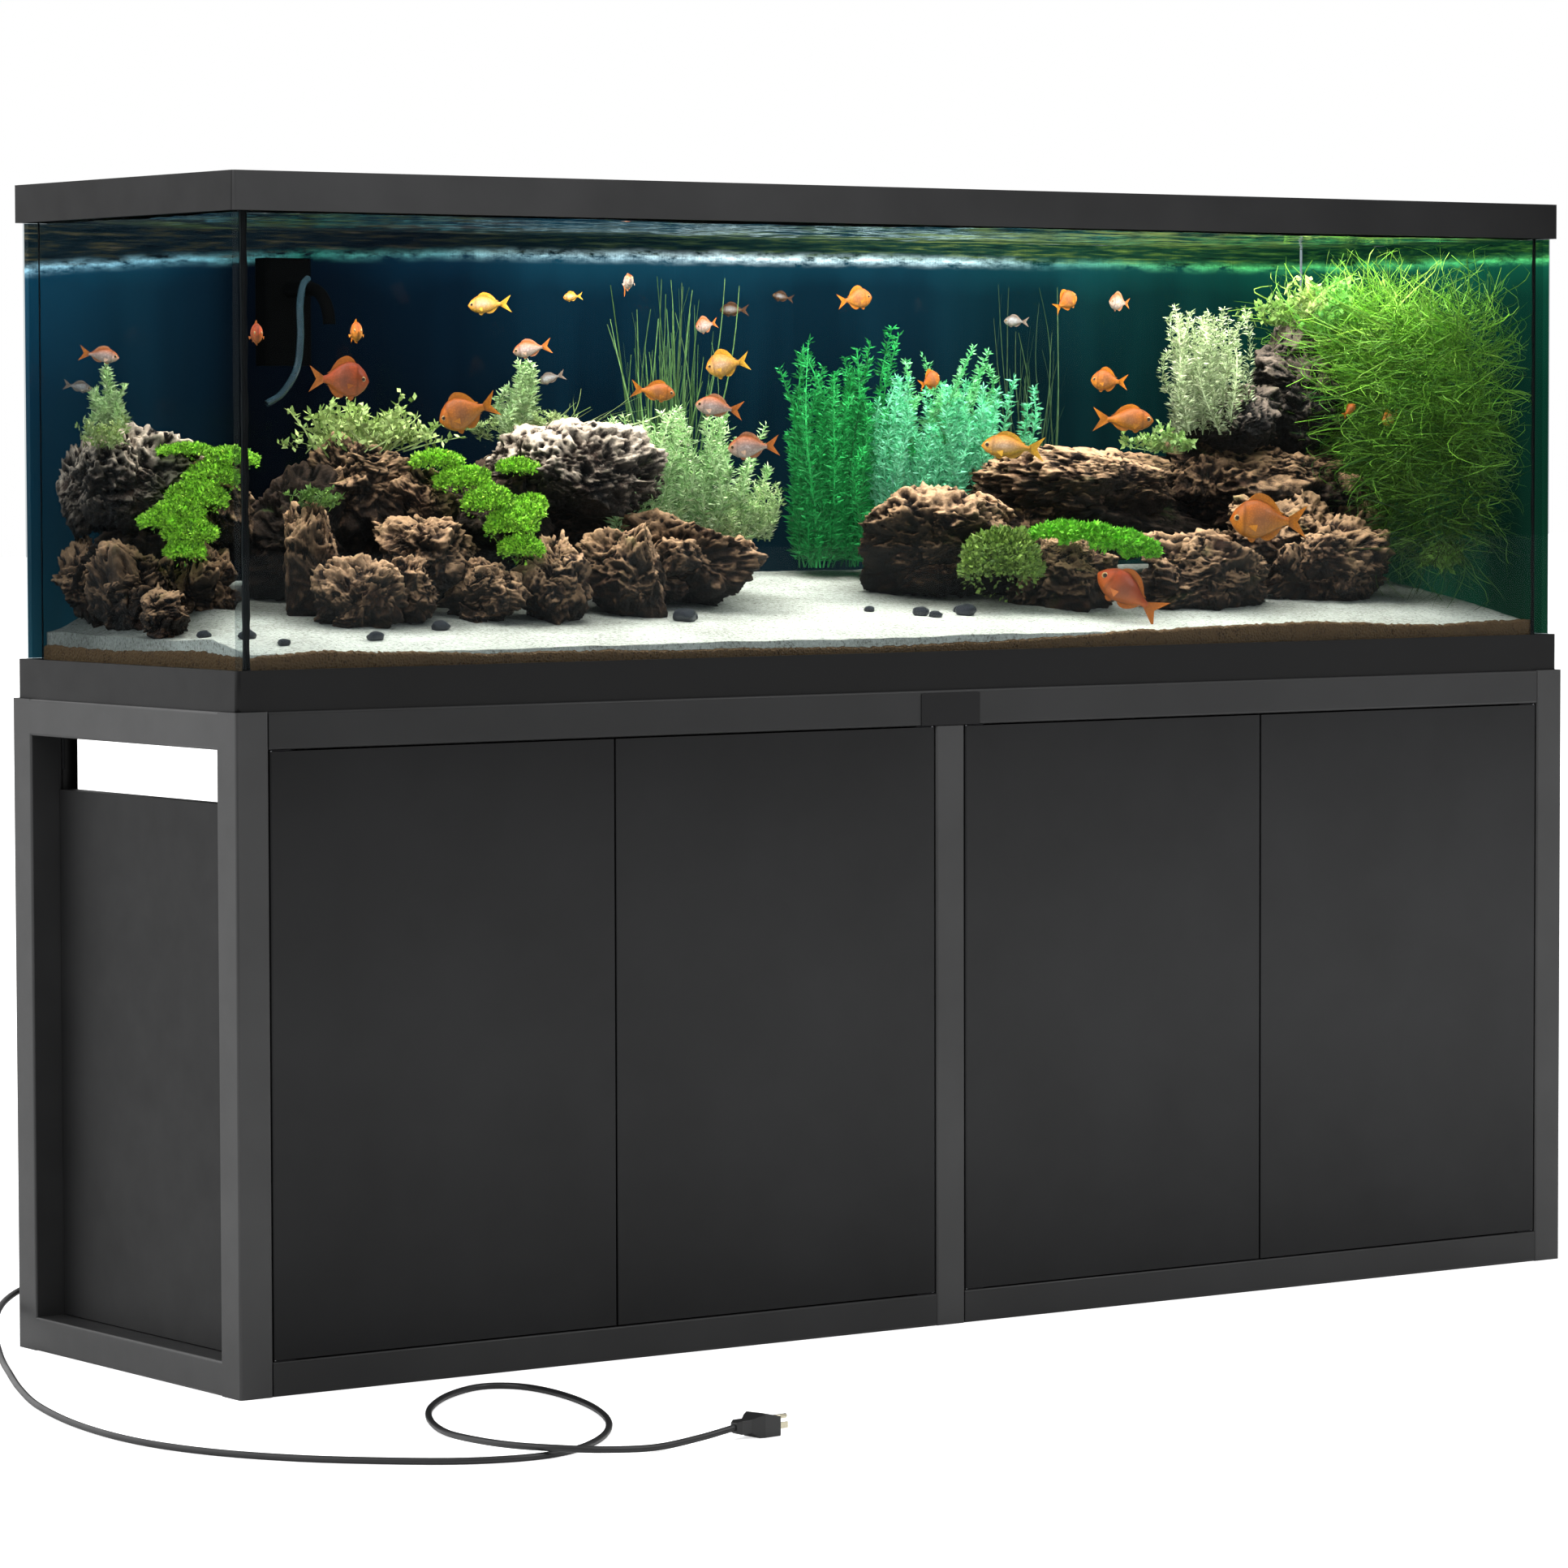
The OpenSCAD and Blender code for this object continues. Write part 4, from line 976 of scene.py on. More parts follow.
def feathery(leaves, x0, x1, y0, y1, z0, z1, stems, whorls, length, width, low, high,
             lean=0.0, top_cut=0.5, per=7):
    """Upright stems set with fine side leaves."""
    r = leaves.rng
    root = np.stack([r.uniform(x0, x1, stems), r.uniform(y0, y1, stems),
                     np.full(stems, z0)], -1)
    tall = r.uniform(top_cut, 1, stems)
    tip = root + np.stack([r.normal(lean, (x1 - x0) * 0.10, stems),
                           r.normal(0, 0.012, stems), (z1 - z0) * tall], -1)
    k = 16
    lines = arching(r, root, tip, stems, 0.012, k)
    leaves.ribbons(lines, np.full(stems, width * 1.6),
                   graded(shades(r, stems, low, high), k, 0.4, 0.9), 0.4)
    t = r.uniform(0.02, 1, (stems, whorls * per)) ** 0.85
    s = t * (k - 1)
    i = np.minimum(s.astype(int), k - 2)
    f = (s - i)[..., None]
    rows = np.arange(stems)[:, None]
    at = (lines[rows, i] * (1 - f) + lines[rows, i + 1] * f).reshape(-1, 3)
    m = len(at)
    out = r.normal(size=(m, 3))
    out[:, 2] = np.abs(out[:, 2]) * 0.55 + 0.1
    grow = (1 - 0.45 * t.reshape(-1)) * r.uniform(0.5, 1.1, m)
    tone = shades(r, m, low, high, 0.18) * (0.45 + 0.75 * t.reshape(-1, 1))
    leaves.leaflets(at, out, length * grow, np.full(m, width) * r.uniform(0.6, 1.2, m),
                    np.clip(tone, 0, 1), 0.35)


def tangle(leaves, centre, radii, n, length, width, low, high, drift=(0, 0, 0.2), k=8,
           shade_z=(0.84, 1.16)):
    """Fine threads that grow outward from inside a mass; painted shade makes them darker deep inside the
    mass and towards its foot.
    """
    r = leaves.rng
    u = r.normal(size=(n, 3))
    u /= np.linalg.norm(u, axis=1, keepdims=True)
    depth = r.uniform(0.25, 1, (n, 1)) ** 0.5
    root = np.array(centre) + u * np.array(radii) * depth
    way = u * 0.7 + r.normal(size=(n, 3)) * 0.6 + np.array(drift)
    way /= np.linalg.norm(way, axis=1, keepdims=True)
    tip = root + way * length * r.uniform(0.4, 1.2, (n, 1))
    lines = arching(r, root, tip, n, length * 0.26, k)
    rise = np.clip((root[:, 2:3] - shade_z[0]) / (shade_z[1] - shade_z[0]), 0, 1)
    # Painted shade: threads deep in the mass and low down are darker.
    tone = shades(r, n, low, high, 0.25) * (0.25 + 0.9 * depth) * (0.18 + 1.15 * rise ** 1.3)
    leaves.ribbons(lines, np.full(n, width) * r.uniform(0.6, 1.3, n),
                   graded(np.clip(tone, 0, 1), k, 0.7, 1.2), 0.3)


def cushion(leaves, spots, n, size, low, high):
    """Moss: tiny bright leaves over round patches; spots are (x, y, z, rx, ry, rz)."""
    r = leaves.rng
    for x, y, z, rx, ry, rz in spots:
        u = r.normal(size=(n, 3))
        u[:, 2] = np.abs(u[:, 2]) * 1.1 - 0.25
        u[:, 1] -= 0.25
        u /= np.linalg.norm(u, axis=1, keepdims=True)
        wobble = 1 + 0.28 * fbm(u * 2.5 + x * 40, 3, int(abs(x) * 1000) % 97)[:, None]
        depth = r.uniform(0.72, 1.05, (n, 1))
        at = np.array([x, y, z]) + u * np.array([rx, ry, rz]) * depth * wobble
        # Painted shade: leaves set deeper in a patch are darker.
        tone = shades(r, n, low, high, 0.2) * np.clip(0.25 + 1.0 * (depth - 0.6) / 0.4, 0.2, 1.2)
        leaves.leaflets(at, u + r.normal(size=(n, 3)) * 0.6 + np.array([0, 0, 0.3]),
                        r.uniform(0.6, 1.3, n) * size, r.uniform(0.5, 0.9, n) * size,
                        np.clip(tone, 0, 1), 0.3)


def bushy(leaves, x, y, z, rx, ry, rz, branches, leaf, low, high):
    """A low bush: forking twigs tipped with small round leaves."""
    r = leaves.rng
    way = r.normal(size=(branches, 3))
    way[:, 2] = np.abs(way[:, 2]) + 0.35
    way /= np.linalg.norm(way, axis=1, keepdims=True)
    reach = r.uniform(0.55, 1.05, (branches, 1))
    root = np.array([x, y, z]) + r.normal(size=(branches, 3)) * np.array([rx, ry, 0.1 * rz]) * 0.3
    tip = root + way * np.array([rx, ry, rz]) * reach
    lines = arching(r, root, tip, branches, 0.008, 7)
    leaves.ribbons(lines, np.full(branches, leaf * 0.22),
                   graded(shades(r, branches, low, high), 7, 0.4, 0.8), 0.5)
    per = 14
    t = r.uniform(0.35, 1, (branches, per))
    i = np.minimum((t * 6).astype(int), 5)
    f = (t * 6 - i)[..., None]
    rows = np.arange(branches)[:, None]
    at = (lines[rows, i] * (1 - f) + lines[rows, i + 1] * f).reshape(-1, 3)
    m = len(at)
    tone = shades(r, m, low, high, 0.15) * (0.5 + 0.65 * t.reshape(-1, 1))
    leaves.leaflets(at, r.normal(size=(m, 3)) + np.array([0, 0, 0.6]),
                    r.uniform(0.6, 1.1, m) * leaf, r.uniform(0.5, 0.9, m) * leaf * 0.7,
                    np.clip(tone, 0, 1), 0.2)


def plant(name, seed, material, grow, clumps, *stands_for):
    leaves = Leaves(seed)
    for clump in clumps:
        grow(leaves, *clump)
    leaves.make(name, material, *stands_for)


def stem_clump(x, y):
    """Pale stems that stand on a stone, as a feathery clump."""
    return (x - 0.011, x + 0.011, y - 0.008, y + 0.008, 0.985, 1.085, 10, 34, 0.017, 0.0024,
            (0.20, 0.36, 0.13), (0.66, 0.84, 0.50), 0, 0.4)


def thicket_part(*middle_radii_count):
    """A dense mass of the thicket, as a tangle."""
    cx, cy, cz, rx, ry, rz, n = middle_radii_count
    return ((cx, cy, cz), (rx, ry, rz), n, 0.080, 0.0015, (0.02, 0.12, 0.008), (0.28, 0.62, 0.06),
            (-0.25, -0.2, 0.2))


def planting():
    back = leaf_material("leaf_back", 0.10)
    bright = leaf_material("leaf_bright", 0.22)
    plant("plant_blades", 101, back, grass, [
        (-0.112, 0.150, 0.87, 1.185, 120, 0.085, 0.0034, (0.025, 0.08, 0.025), (0.11, 0.22, 0.07), 0.62),
        (0.435, 0.185, 0.90, 1.190, 30, 0.09, 0.0028, (0.02, 0.06, 0.03), (0.06, 0.12, 0.05), 0.5),
        (-0.30, 0.12, 1.00, 1.06, 18, 0.10, 0.0022, (0.2, 0.3, 0.1), (0.45, 0.55, 0.28), 1.6),
    ], "plants_back")
    plant("plant_feathery", 102, leaf_material("leaf_vivid", 0.34), feathery, [
        (0.075, 0.215, 0.13, 0.185, 0.845, 1.135, 52, 46, 0.020, 0.0022, (0.008, 0.14, 0.035),
         (0.04, 0.54, 0.14), 0, 0.45),
        (0.165, 0.325, 0.08, 0.14, 0.905, 1.075, 44, 34, 0.018, 0.0024, (0.04, 0.40, 0.18),
         (0.32, 0.95, 0.62), 0.01, 0.55),
        (0.225, 0.34, 0.10, 0.15, 0.98, 1.105, 18, 22, 0.016, 0.0022, (0.06, 0.42, 0.13),
         (0.32, 0.85, 0.42), 0.015),
    ])
    plant("plant_pale_stems", 103, bright, feathery, [
        (-0.285, -0.10, 0.00, 0.08, 0.885, 1.035, 60, 26, 0.018, 0.0019, (0.18, 0.42, 0.12),
         (0.75, 0.98, 0.58), 0.02),
        (-0.14, -0.075, -0.02, 0.05, 0.88, 0.955, 26, 18, 0.014, 0.0017, (0.24, 0.44, 0.14),
         (0.78, 0.95, 0.55), 0.015),
        stem_clump(-0.364, 0.085), stem_clump(-0.842, 0.170),
        (0.570, 0.690, 0.03, 0.09, 1.0, 1.160, 40, 26, 0.017, 0.0016, (0.28, 0.40, 0.18),
         (0.88, 0.98, 0.66)),
        (-0.41, -0.31, 0.06, 0.12, 0.995, 1.03, 20, 12, 0.012, 0.0016, (0.2, 0.32, 0.10),
         (0.5, 0.62, 0.30)),
    ])
    plant("plant_bushes", 104, bright, bushy, [
        (-0.592, 0.055, 0.985, 0.085, 0.055, 0.062, 95, 0.0105, (0.16, 0.26, 0.06), (0.50, 0.62, 0.24)),
        (-0.885, 0.10, 0.99, 0.03, 0.05, 0.04, 26, 0.008, (0.16, 0.26, 0.06), (0.5, 0.6, 0.26)),
        (0.757, 0.09, 1.135, 0.03, 0.03, 0.045, 30, 0.010, (0.14, 0.30, 0.05), (0.42, 0.62, 0.18)),
        (0.53, 0.03, 0.98, 0.05, 0.03, 0.04, 26, 0.010, (0.14, 0.28, 0.06), (0.40, 0.58, 0.22)),
        (0.80, 0.03, 1.13, 0.035, 0.03, 0.065, 60, 0.011, (0.08, 0.30, 0.05), (0.30, 0.70, 0.14)),
        (0.775, 0.05, 1.145, 0.020, 0.03, 0.045, 26, 0.010, (0.25, 0.38, 0.08), (0.55, 0.72, 0.25)),
        (-0.70, -0.02, 0.925, 0.03, 0.03, 0.025, 22, 0.008, (0.05, 0.12, 0.02), (0.2, 0.34, 0.08)),
        (0.87, -0.08, 0.84, 0.03, 0.02, 0.03, 16, 0.016, (0.05, 0.14, 0.02), (0.2, 0.36, 0.08)),
    ])
    plant("moss_mats", 105, bright, cushion, [
        (((-0.530, -0.005, 0.972, 0.026, 0.024, 0.013), (-0.505, -0.020, 0.950, 0.030, 0.026, 0.018),
          (-0.487, -0.045, 0.925, 0.030, 0.024, 0.020), (-0.470, -0.062, 0.900, 0.030, 0.022, 0.020),
          (-0.462, -0.072, 0.875, 0.024, 0.020, 0.016), (-0.440, -0.040, 0.915, 0.024, 0.022, 0.012),
          (-0.418, -0.020, 0.925, 0.016, 0.018, 0.010), (-0.425, -0.005, 0.965, 0.022, 0.018, 0.010),
          (-0.765, 0.040, 0.975, 0.026, 0.03, 0.014), (-0.785, 0.045, 0.955, 0.028, 0.03, 0.018),
          (-0.805, 0.045, 0.932, 0.030, 0.03, 0.020), (-0.828, 0.045, 0.918, 0.026, 0.03, 0.014),
          (-0.850, 0.05, 0.908, 0.018, 0.025, 0.010), (-0.820, 0.035, 0.895, 0.026, 0.03, 0.018),
          (-0.828, 0.030, 0.876, 0.020, 0.022, 0.012), (-0.80, 0.075, 0.985, 0.026, 0.03, 0.008)),
         3000, 0.0043, (0.03, 0.13, 0.006), (0.44, 0.86, 0.08)),
        (((0.275, -0.088, 0.886, 0.034, 0.022, 0.010), (0.315, -0.092, 0.882, 0.036, 0.022, 0.012),
          (0.355, -0.095, 0.874, 0.032, 0.022, 0.012), (0.388, -0.098, 0.864, 0.020, 0.018, 0.010)),
         1900, 0.0075, (0.05, 0.26, 0.01), (0.26, 0.68, 0.06)),
    ])
    plant("moss_ball", 106, leaf_material("leaf_ball", 0.08), cushion, [
        (((0.204, -0.066, 0.848, 0.047, 0.042, 0.042),), 5200, 0.0062, (0.08, 0.16, 0.03),
         (0.30, 0.44, 0.10)),
    ], "plants_front")
    plant("plant_thicket", 107, back, tangle, [
        thicket_part(0.845, -0.03, 1.03, 0.05, 0.15, 0.11, 2300),
        thicket_part(0.85, -0.10, 0.94, 0.045, 0.09, 0.10, 1500),
        thicket_part(0.842, 0.02, 1.10, 0.05, 0.12, 0.06, 1200),
        thicket_part(0.86, -0.14, 1.06, 0.035, 0.06, 0.10, 800),
        thicket_part(0.86, 0.08, 1.00, 0.03, 0.08, 0.12, 700),
        ((0.84, -0.02, 1.11), (0.05, 0.15, 0.03), 360, 0.11, 0.0018, (0.07, 0.22, 0.02),
         (0.30, 0.52, 0.08), (-0.6, -0.1, 0.5), 10),
    ])


# ---- fish
# Colours of the back, the belly and the fins of each kind
FISH_TONES = {
    "orange": ((0.62, 0.13, 0.008), (0.80, 0.30, 0.03), (0.72, 0.22, 0.01)),
    "red": ((0.50, 0.045, 0.006), (0.70, 0.16, 0.02), (0.72, 0.20, 0.02)),
    "amber": ((0.70, 0.24, 0.01), (0.85, 0.46, 0.06), (0.80, 0.42, 0.03)),
    "white": ((0.62, 0.13, 0.02), (0.68, 0.62, 0.54), (0.70, 0.20, 0.03)),
    "grey": ((0.12, 0.13, 0.13), (0.34, 0.35, 0.33), (0.2, 0.17, 0.14)),
    "dim": ((0.05, 0.03, 0.015), (0.06, 0.04, 0.02), (0.04, 0.025, 0.015)),
}
RIGHT, LEFT, NEAR = -35, 145, -110
# x, y, z, length (mm), heading (degrees; 0 swims to +x), nose up (degrees), depth of the
# body, kind
FISH = [
    (-792, -60, 1110, 40, NEAR, 0, 0.55, "red"), (-643, -20, 1113, 40, NEAR, 5, 0.55, "orange"),
    (-725, -120, 1061, 64, RIGHT, -3, 0.60, "red"), (-555, -110, 1027, 66, LEFT, -18, 0.55, "orange"),
    (-456, 0, 1146, 48, LEFT, -3, 0.42, "amber"), (-319, 40, 1157, 22, LEFT, -5, 0.45, "amber"),
    (-286, -20, 1170, 34, NEAR, 25, 0.5, "white"), (-387, 20, 1098, 44, LEFT, -10, 0.40, "white"),
    (-335, 60, 1066, 32, LEFT, -16, 0.34, "grey"), (-279, -60, 1050, 50, RIGHT, -8, 0.40, "orange"),
    (-164, 0, 1126, 28, LEFT + 25, -12, 0.60, "white"), (-163, -40, 1081, 50, LEFT, -10, 0.55, "amber"),
    (-210, -90, 1032, 54, LEFT, 8, 0.40, "white"), (-170, -100, 988, 58, LEFT, -4, 0.44, "white"),
    (44, 0, 1157, 40, RIGHT, 8, 0.58, "orange"), (-20, 150, 1147, 34, LEFT, 0, 0.42, "dim"),
    (57, 160, 1163, 26, LEFT, 10, 0.42, "dim"), (196, 60, 1064, 34, RIGHT + 40, 20, 0.6, "orange"),
    (228, -60, 986, 74, LEFT, 4, 0.36, "amber"), (326, 60, 1135, 30, LEFT, 2, 0.42, "grey"),
    (352, 0, 1157, 36, RIGHT + 30, 30, 0.6, "orange"), (451, 20, 1158, 30, LEFT + 30, 4, 0.66, "white"),
    (403, -20, 1064, 44, LEFT, 4, 0.56, "orange"), (408, -40, 1018, 72, RIGHT, -2, 0.38, "orange"),
    (565, -120, 898, 92, LEFT, 2, 0.52, "orange"), (330, -150, 815, 90, LEFT, 34, 0.42, "red"),
    (742, -60, 1029, 26, RIGHT + 40, 35, 0.4, "orange"), (809, -60, 1021, 30, LEFT + 35, -24, 0.6, "amber"),
    (-860, 158, 1090, 44, RIGHT, -8, 0.36, "white"), (-870, 189, 1056, 32, RIGHT, -10, 0.34, "grey"),
]


BODY = 0.76
ALONG = np.linspace(0, 1, 22)
ROUND = np.linspace(0, 2 * math.pi, 16, endpoint=False)
PROFILE = np.interp(ALONG, [0, 0.03, 0.1, 0.25, 0.45, 0.65, 0.82, 0.92, 1.0],
                    [0.05, 0.25, 0.55, 0.90, 1.0, 0.78, 0.42, 0.24, 0.20])
RISE = 0.02 * np.sin(ALONG * math.pi)
EYE = unit_sphere(2)


def fish_body(kind, back, belly, deep, wide, z):
    """The body: back and belly in their tones, a dull patch or a pale stripe on the
    side, a gill line, and painted shade that darkens the back and belly edges into
    an outline."""
    v = np.stack([np.repeat(BODY * ALONG, len(ROUND)), np.outer(wide, np.cos(ROUND)).ravel(),
                  (np.outer(0.5 * deep * PROFILE, np.sin(ROUND)) + RISE[:, None]).ravel()], -1)
    s = np.repeat(ALONG, len(ROUND))[:, None]
    up = np.tile(np.sin(ROUND), len(ALONG))[:, None]
    side_on = 1 - np.abs(up)
    level = up * 0.5 + 0.5
    c = belly * (1 - level) + back * level
    if kind in ("orange", "red"):
        mark = 0.55 * np.exp(-((s - 0.52) / 0.20) ** 2) * np.clip(side_on * 1.3, 0, 1)
        c = c + (np.array([0.16, 0.10, 0.09]) - c) * mark
    else:
        mark = 0.6 * np.exp(-((s - 0.45) / 0.28) ** 2) * np.clip(side_on - 0.25, 0, 1)
        c = c + (np.array([0.62, 0.66, 0.70]) - c) * mark
    c = c * (1 - 0.4 * np.exp(-((s - 0.24) / 0.025) ** 2))
    head = 0.35 * np.clip(1 - s / 0.2, 0, 1)
    c = c * (1 - head) + back * 0.75 * head
    # Painted shade: the back and belly edges darker, as an outline; the mottling is the skin's own.
    c = c * (1 - 0.55 * (1 - side_on) ** 5) * (1 + 0.3 * fbm(v * 16 + z, 3, 7))[:, None]
    return v, grid_faces(len(ALONG), len(ROUND), True), c


def fin_between(low, high, low_colour, high_colour):
    """A thin fin between two lines of points."""
    n = len(low)
    return (np.vstack([low, high]), grid_faces(2, n),
            np.vstack([np.tile(low_colour, (n, 1)), np.tile(high_colour, (n, 1))]))


def fish(kind, deep, z):
    """The parts of a fish one unit long, with its nose at x = 0."""
    back, belly, fin = (np.array(t) for t in FISH_TONES[kind])
    wide = 0.17 * np.minimum(PROFILE * 1.15, 1) * (0.7 + 0.3 * deep)
    parts = [fish_body(kind, back, belly, deep, wide, z)]
    u, w = np.meshgrid(np.linspace(0, 1, 5), np.linspace(-1, 1, 9), indexing="ij")
    fork = 0.07 * (1 - np.abs(w)) * u
    tail = np.stack([BODY - 0.02 + 0.26 * u * (0.8 + 0.2 * np.abs(w)) - fork,
                     0.012 * np.sin(u * 5 + w * 2),
                     w * (0.045 + 0.21 * u * (0.55 + 0.5 * deep))], -1).reshape(-1, 3)
    parts.append((tail, grid_faces(5, 9), fin * 0.95 * (0.75 + 0.35 * u.reshape(-1, 1))))
    for sign, s0, s1, tall in ((1, 0.28, 0.86, 0.19), (-1, 0.52, 0.86, 0.15), (-1, 0.30, 0.42, 0.13)):
        t = np.linspace(0, 1, 10)
        at = s0 + (s1 - s0) * t
        edge = np.interp(at, ALONG, 0.5 * deep * PROFILE) * 0.93
        crest = edge + tall * deep * (np.sin(np.clip(t * 1.15, 0, 1) * math.pi) ** 0.6) * 1.1
        middle = np.interp(at, ALONG, RISE)
        low = np.stack([BODY * at, t * 0, sign * edge + middle], -1)
        high = np.stack([BODY * at + 0.05 * t, 0.01 * np.sin(t * 6), sign * crest + middle], -1)
        parts.append(fin_between(low, high, fin * 0.9, fin * 0.6 + belly * 0.3))
    v, f = EYE
    for side in (-1, 1):
        t = np.linspace(0, 1, 6)
        root = np.array([BODY * 0.31, side * 0.145, -0.07])
        upper = root + np.stack([0.11 * t, side * 0.07 * t, 0.02 * t], -1)
        lower = root + np.stack([0.09 * t, side * 0.05 * t, -0.07 * t - 0.008], -1)
        parts.append(fin_between(upper, lower, *[fin * 0.4 + belly * 0.6] * 2))
        eye_at = [BODY * 0.115, side * np.interp(0.115, ALONG, wide) * 0.93, 0.035 * deep + 0.01]
        iris = np.where(v[:, 1:2] * side > 0.62, (0.008, 0.008, 0.010), (0.75, 0.55, 0.25))
        parts.append((v * np.array([0.042, 0.024, 0.042]) + np.array(eye_at), f, iris))
    return parts


def turned(v, degrees, a, b):
    """Points turned from axis a towards axis b."""
    c, s = math.cos(math.radians(degrees)), math.sin(math.radians(degrees))
    out = v.copy()
    out[:, a] = v[:, a] * c - v[:, b] * s
    out[:, b] = v[:, a] * s + v[:, b] * c
    return out


def shoal():
    """All the fish as one piece, each tail bent at random."""
    rng = np.random.default_rng(77)
    school = Gather()
    for x, y, z, length, heading, nose_up, deep, kind in FISH:
        bend = 0.05 * rng.normal()
        for v, f, c in fish(kind, deep, z):
            v = v - np.array([0.5, 0, 0])
            v[:, 1] += bend * np.clip(v[:, 0], 0, 1) ** 2 * 2
            v[:, 0] *= -1
            v = turned(turned(v * length * MM, nose_up, 0, 2), heading, 0, 1)
            school.add(v + np.array([x, y, z]) * MM, f, np.clip(c, 0, 1))
    school.object("fish_shoal", fish_material(), "plant_green")


# ---- water
def water_surface():
    """The rippled surface, just clear of the panes."""
    nx, ny = 420, 110
    half_x, half_y = PANE_X - 0.0002, PANE_Y - 0.0001
    gx, gy = np.meshgrid(np.linspace(-half_x, half_x, nx), np.linspace(-half_y, half_y, ny))
    p = np.stack([gx * 9, gy * 26, np.zeros_like(gx)], -1)
    z = SURFACE_Z + 0.0022 * fbm(p, 4, 61) + 0.0006 * fbm(p * 5, 3, 62)
    obj = mesh_object("water_surface", np.stack([gx, gy, z], -1).reshape(-1, 3),
                      grid_faces(ny, nx), water_material())


def silicone():
    """Beads of black silicone in three of the tank's corners; the film hides the fourth."""
    s = plain("silicone", (0.001,) * 3, (0.004, 0.004, 0.005), 40, 0.45, 0.2,
              (220, 0.0004, 0.5, 3))
    section = [(0, 0), (1, 0), (0.62, 0.28), (0.28, 0.62), (0, 1)]
    beads = Gather()
    for sx, sy in ((-1, -1), (1, -1), (-1, 1)):
        size = 0.006 * (0.95 if sy < 0 else 0.35)

        def corner(z, a, b):
            r = size * (1 + 0.10 * math.sin(z * 90 + sx * 2 + sy) + 0.05 * math.sin(z * 310))
            return sx * (PANE_X - a * r), sy * (PANE_Y - b * r), z
        extruded(beads, section, np.linspace(0.739, 1.2355, 60), corner, flip=sx * sy < 0)
    beads.object("silicone_seams", s.mat, "rim_black")


def pebbles():
    """Small dark stones on the sand: x, y and radius in millimetres."""
    spec = [(-586, -100, 9), (-265, -100, 12), (-250, -92, 7), (64, -100, 9), (76, -112, 7),
            (128, -100, 11), (136, -80, 8), (-700, -150, 8), (-840, -120, 9), (-858, -60, 7),
            (-825, -170, 6), (20, -60, 6)]
    v, f = unit_sphere(3)
    stones = Gather()
    for k, (x, y, r) in enumerate(spec):
        p = v * (1 + 0.28 * fbm(v * 1.7, 3, k + 40))[:, None] * np.array([1.2, 0.9, 0.75]) * r * MM
        z = float(sand_height(np.array([x * MM]), np.array([y * MM]))[0]) + 0.4 * r * MM
        stones.add(p + np.array([x * MM, y * MM, z]), f)
    s = plain("pebble", (0.008, 0.010, 0.016), (0.05, 0.055, 0.07), 160, 0.35, 0.5,
              (400, 0.0006, 0.6, 4), 4)
    stones.object("pebbles", s.mat, "rock_grey")


def tube(points, radius, sides=12):
    """A tube's mesh along a line of points."""
    p = np.asarray(points, float)
    d = np.gradient(p, axis=0)
    d /= np.linalg.norm(d, axis=1, keepdims=True)
    side = np.cross(d, np.array([0.31, 0.87, 0.2]))
    side /= np.linalg.norm(side, axis=1, keepdims=True)
    up = np.cross(side, d)
    a = np.linspace(0, 2 * math.pi, sides, endpoint=False)
    ring = (side[:, None] * np.cos(a)[None, :, None] + up[:, None] * np.sin(a)[None, :, None])
    return (p[:, None] + ring * radius).reshape(-1, 3), grid_faces(len(p), sides, True)


def return_pipe():
    """The filter's curved return pipe of smoky blue glass, by points in millimetres."""
    line = smooth_line([(-600, 150, 1176), (-612, 140, 1168), (-622, 130, 1145), (-624, 126, 1110),
                        (-630, 125, 1075), (-647, 127, 1049), (-666, 129, 1037)], 8) * MM
    v, f = tube(line, 0.0042)
    s = plain("pipe_blue", (0.004, 0.011, 0.016), (0.018, 0.036, 0.048), 50, 0.12, 0.6,
              (90, 0.0003, 0.3, 2)).set(coat=0.5, coat_rough=0.05)
    mesh_object("return_pipe", v, f, s.mat)


STONES = {
    "brown": rock_material("rock_brown", (0.0008, 0.0004, 0.0002), (0.040, 0.019, 0.009),
                           (0.42, 0.25, 0.14), 0.12),
    "grey": rock_material("rock_grey", (0.002, 0.0015, 0.0015), (0.050, 0.034, 0.025),
                          (0.60, 0.48, 0.38), 0.45),
    "black": rock_material("rock_black", (0.0006, 0.0006, 0.0006), (0.008, 0.007, 0.007),
                           (0.17, 0.125, 0.10), 0.12),
    # Near-black stones set at the back of the piles: painted shade in the hollows between stones.
    "dark": rock_material("rock_dark", (0.0006, 0.0004, 0.0003), (0.008, 0.0045, 0.0025),
                          (0.055, 0.032, 0.02), 0.05),
}
for pile, first_seed in (("rocks_left", 1), ("rocks_right", 31)):
    for k, spec in enumerate(ROCKS[pile]):
        rock(pile, k + 1, spec, STONES[spec[6]], first_seed + k)
door_gap_shade()
slot_shade_strips()
white_sand()
soil_layer()
planting()
shoal()
water_surface()
silicone()
pebbles()
return_pipe()


# ---- studio
def area_light(name, at, toward, size, power, colour=(1, 1, 1), hidden=False):
    data = bpy.data.lights.new(name, "AREA")
    data.shape = "RECTANGLE"
    data.size, data.size_y = size
    data.energy = power
    data.color = colour
    obj = bpy.data.objects.new(name, data)
    obj.location = at
    obj.rotation_euler = (Vector(toward) - Vector(at)).to_track_quat("-Z", "Y").to_euler()
    scene.collection.objects.link(obj)
    if hidden:
        obj.visible_camera = False
        obj.visible_glossy = False
    return obj


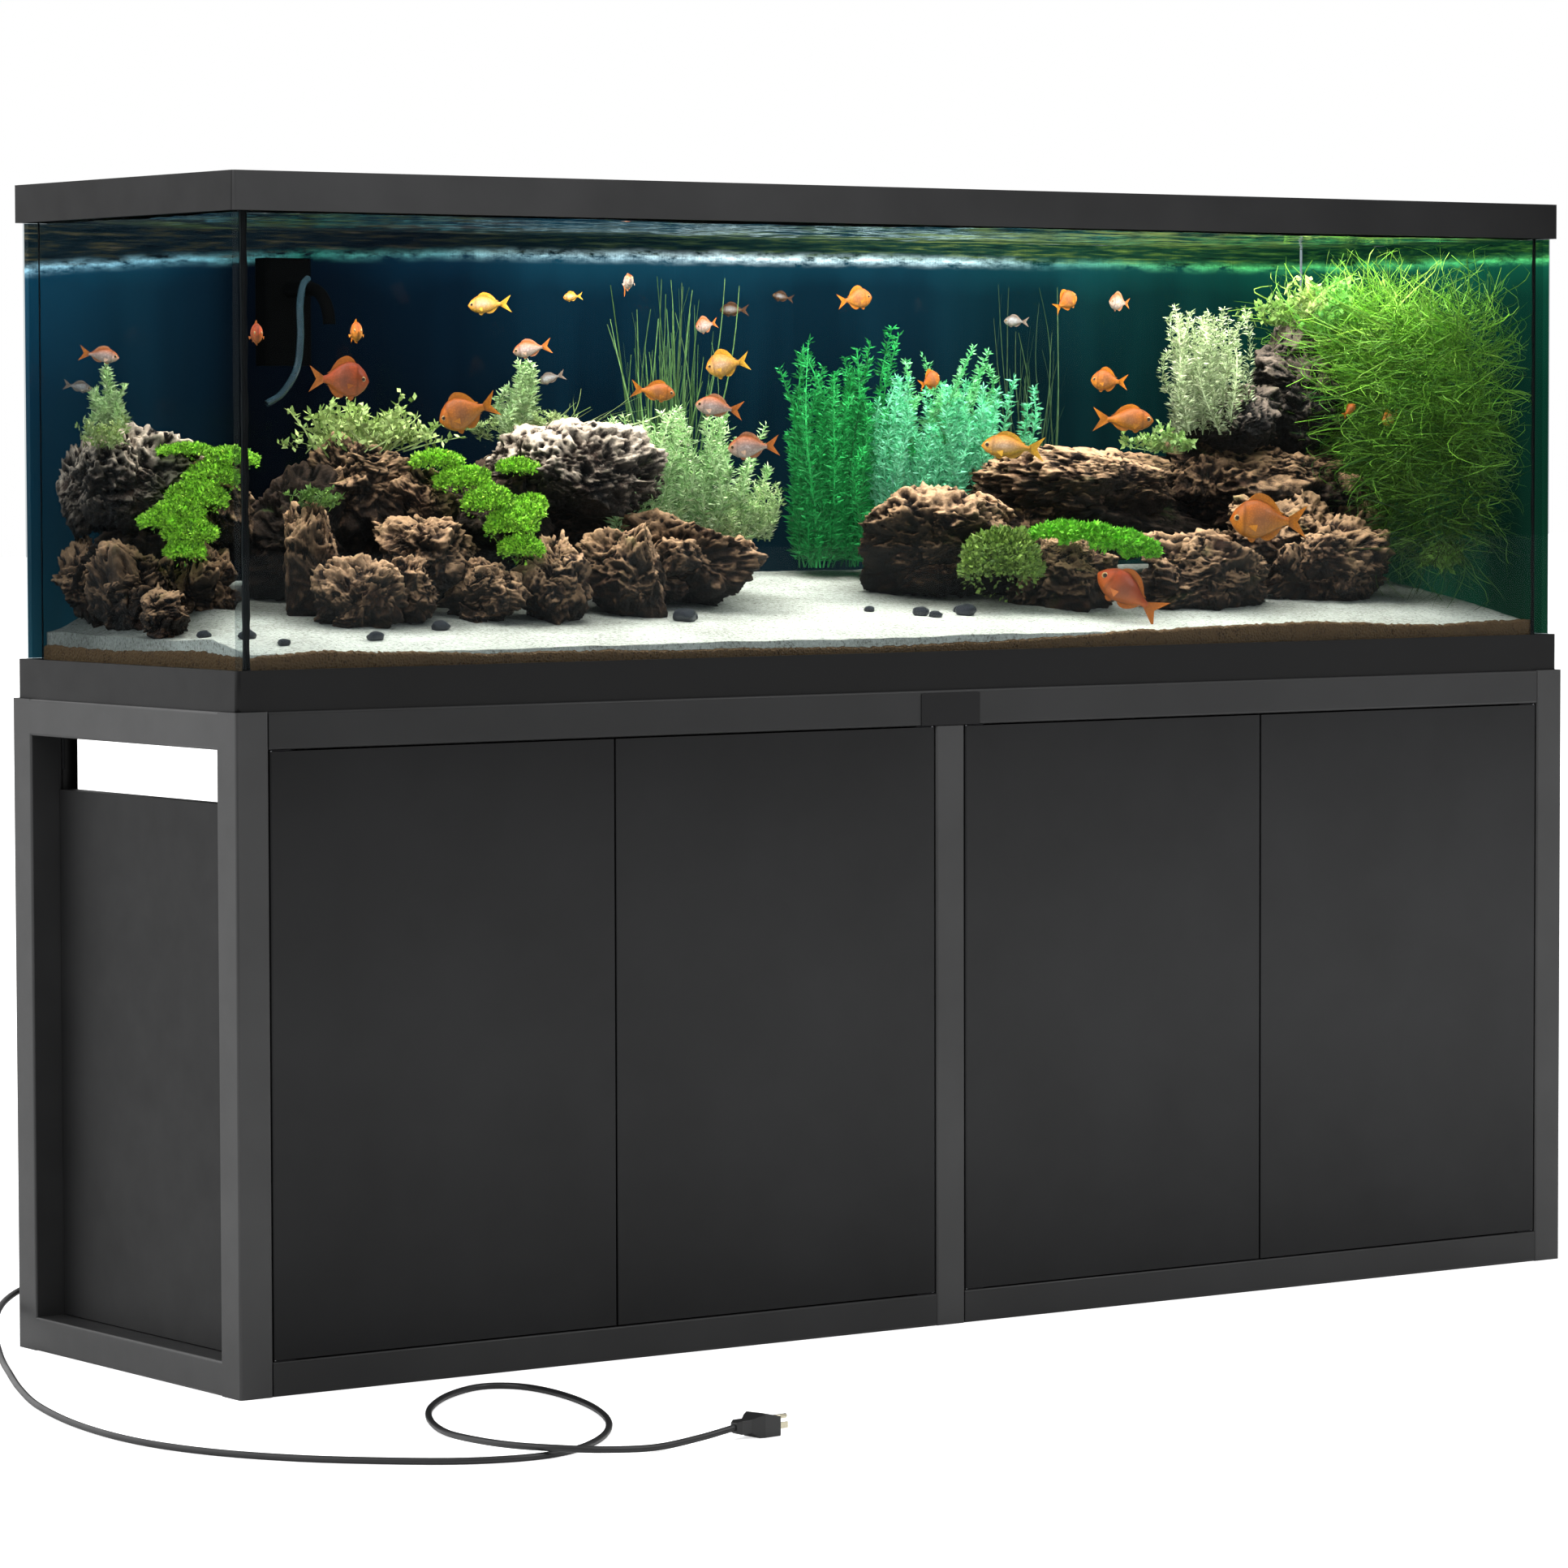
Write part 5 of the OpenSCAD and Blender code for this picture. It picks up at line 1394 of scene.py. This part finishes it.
def studio():
    """A white room for the camera; its light is stronger from the left and above
    than from the front."""
    world = bpy.data.worlds.new("studio")
    scene.world = world
    world.use_nodes = True
    tree = world.node_tree
    back = tree.nodes["Background"]
    back.inputs["Color"].default_value = (1, 1, 1, 1)
    where = tree.nodes.new("ShaderNodeTexCoord").outputs["Generated"]

    def node(kind, inputs, **values):
        n = tree.nodes.new("ShaderNode" + kind)
        for key, value in values.items():
            setattr(n, key, value)
        for key, value in inputs.items():
            if isinstance(value, bpy.types.NodeSocket):
                tree.links.new(value, n.inputs[key])
            else:
                n.inputs[key].default_value = value
        return n.outputs

    total = 0.16
    for direction, strength in (((-0.64, 0.76, 0), 1.15), ((-1, -0.2, 0.2), 0.2),
                                ((0, 0, 1), 0.65), ((1, 0.3, 0), 0.3)):
        dot = node("VectorMath", {0: where, 1: direction}, operation="DOT_PRODUCT")["Value"]
        part = node("MapRange", {"Value": dot, "From Max": 0.9, "To Max": strength},
                    interpolation_type="SMOOTHSTEP")["Result"]
        total = node("Math", {0: part, 1: total}, operation="ADD")[0]
    seen = node("LightPath", {})["Is Camera Ray"]
    tree.links.new(node("Mix", {0: seen, 2: total, 3: 1.0})[0], back.inputs["Strength"])
    scene.view_settings.view_transform = "Standard"
    floor_s = Shade("floor")
    floor_s.set(base=floor_s.mix(floor_s.noise(3, 2), (0.93, 0.93, 0.93), (0.95, 0.95, 0.95)),
                rough=0.9, spec=0.1, glow=(1, 1, 1))
    seen = floor_s.node("ShaderNodeLightPath").outputs["Is Camera Ray"]
    floor_s.link(floor_s.math("MULTIPLY", seen, 0.62), floor_s.bsdf.inputs["Emission Strength"])
    size = 40
    floor = mesh_object("floor", [(-size, -size, 0), (size, -size, 0), (size, size, 0),
                                  (-size, size, 0)], np.array([[0, 1, 2, 3]]), floor_s.mat,
                        body=None)
    area_light("key", (2.6, -4.6, 4.2), (1.6, -2.6, 0.0), (2.4, 2.4), 85)
    area_light("fill", (-6.0, -1.5, 4.5), (0, 0, 0.4), (3.0, 3.0), 45)
    area_light("tank_lamp", (0, -0.03, 1.2255), (0, -0.03, 0.5), (1.72, 0.28), 18.0,
               (1.0, 0.97, 0.90), hidden=True)


studio()
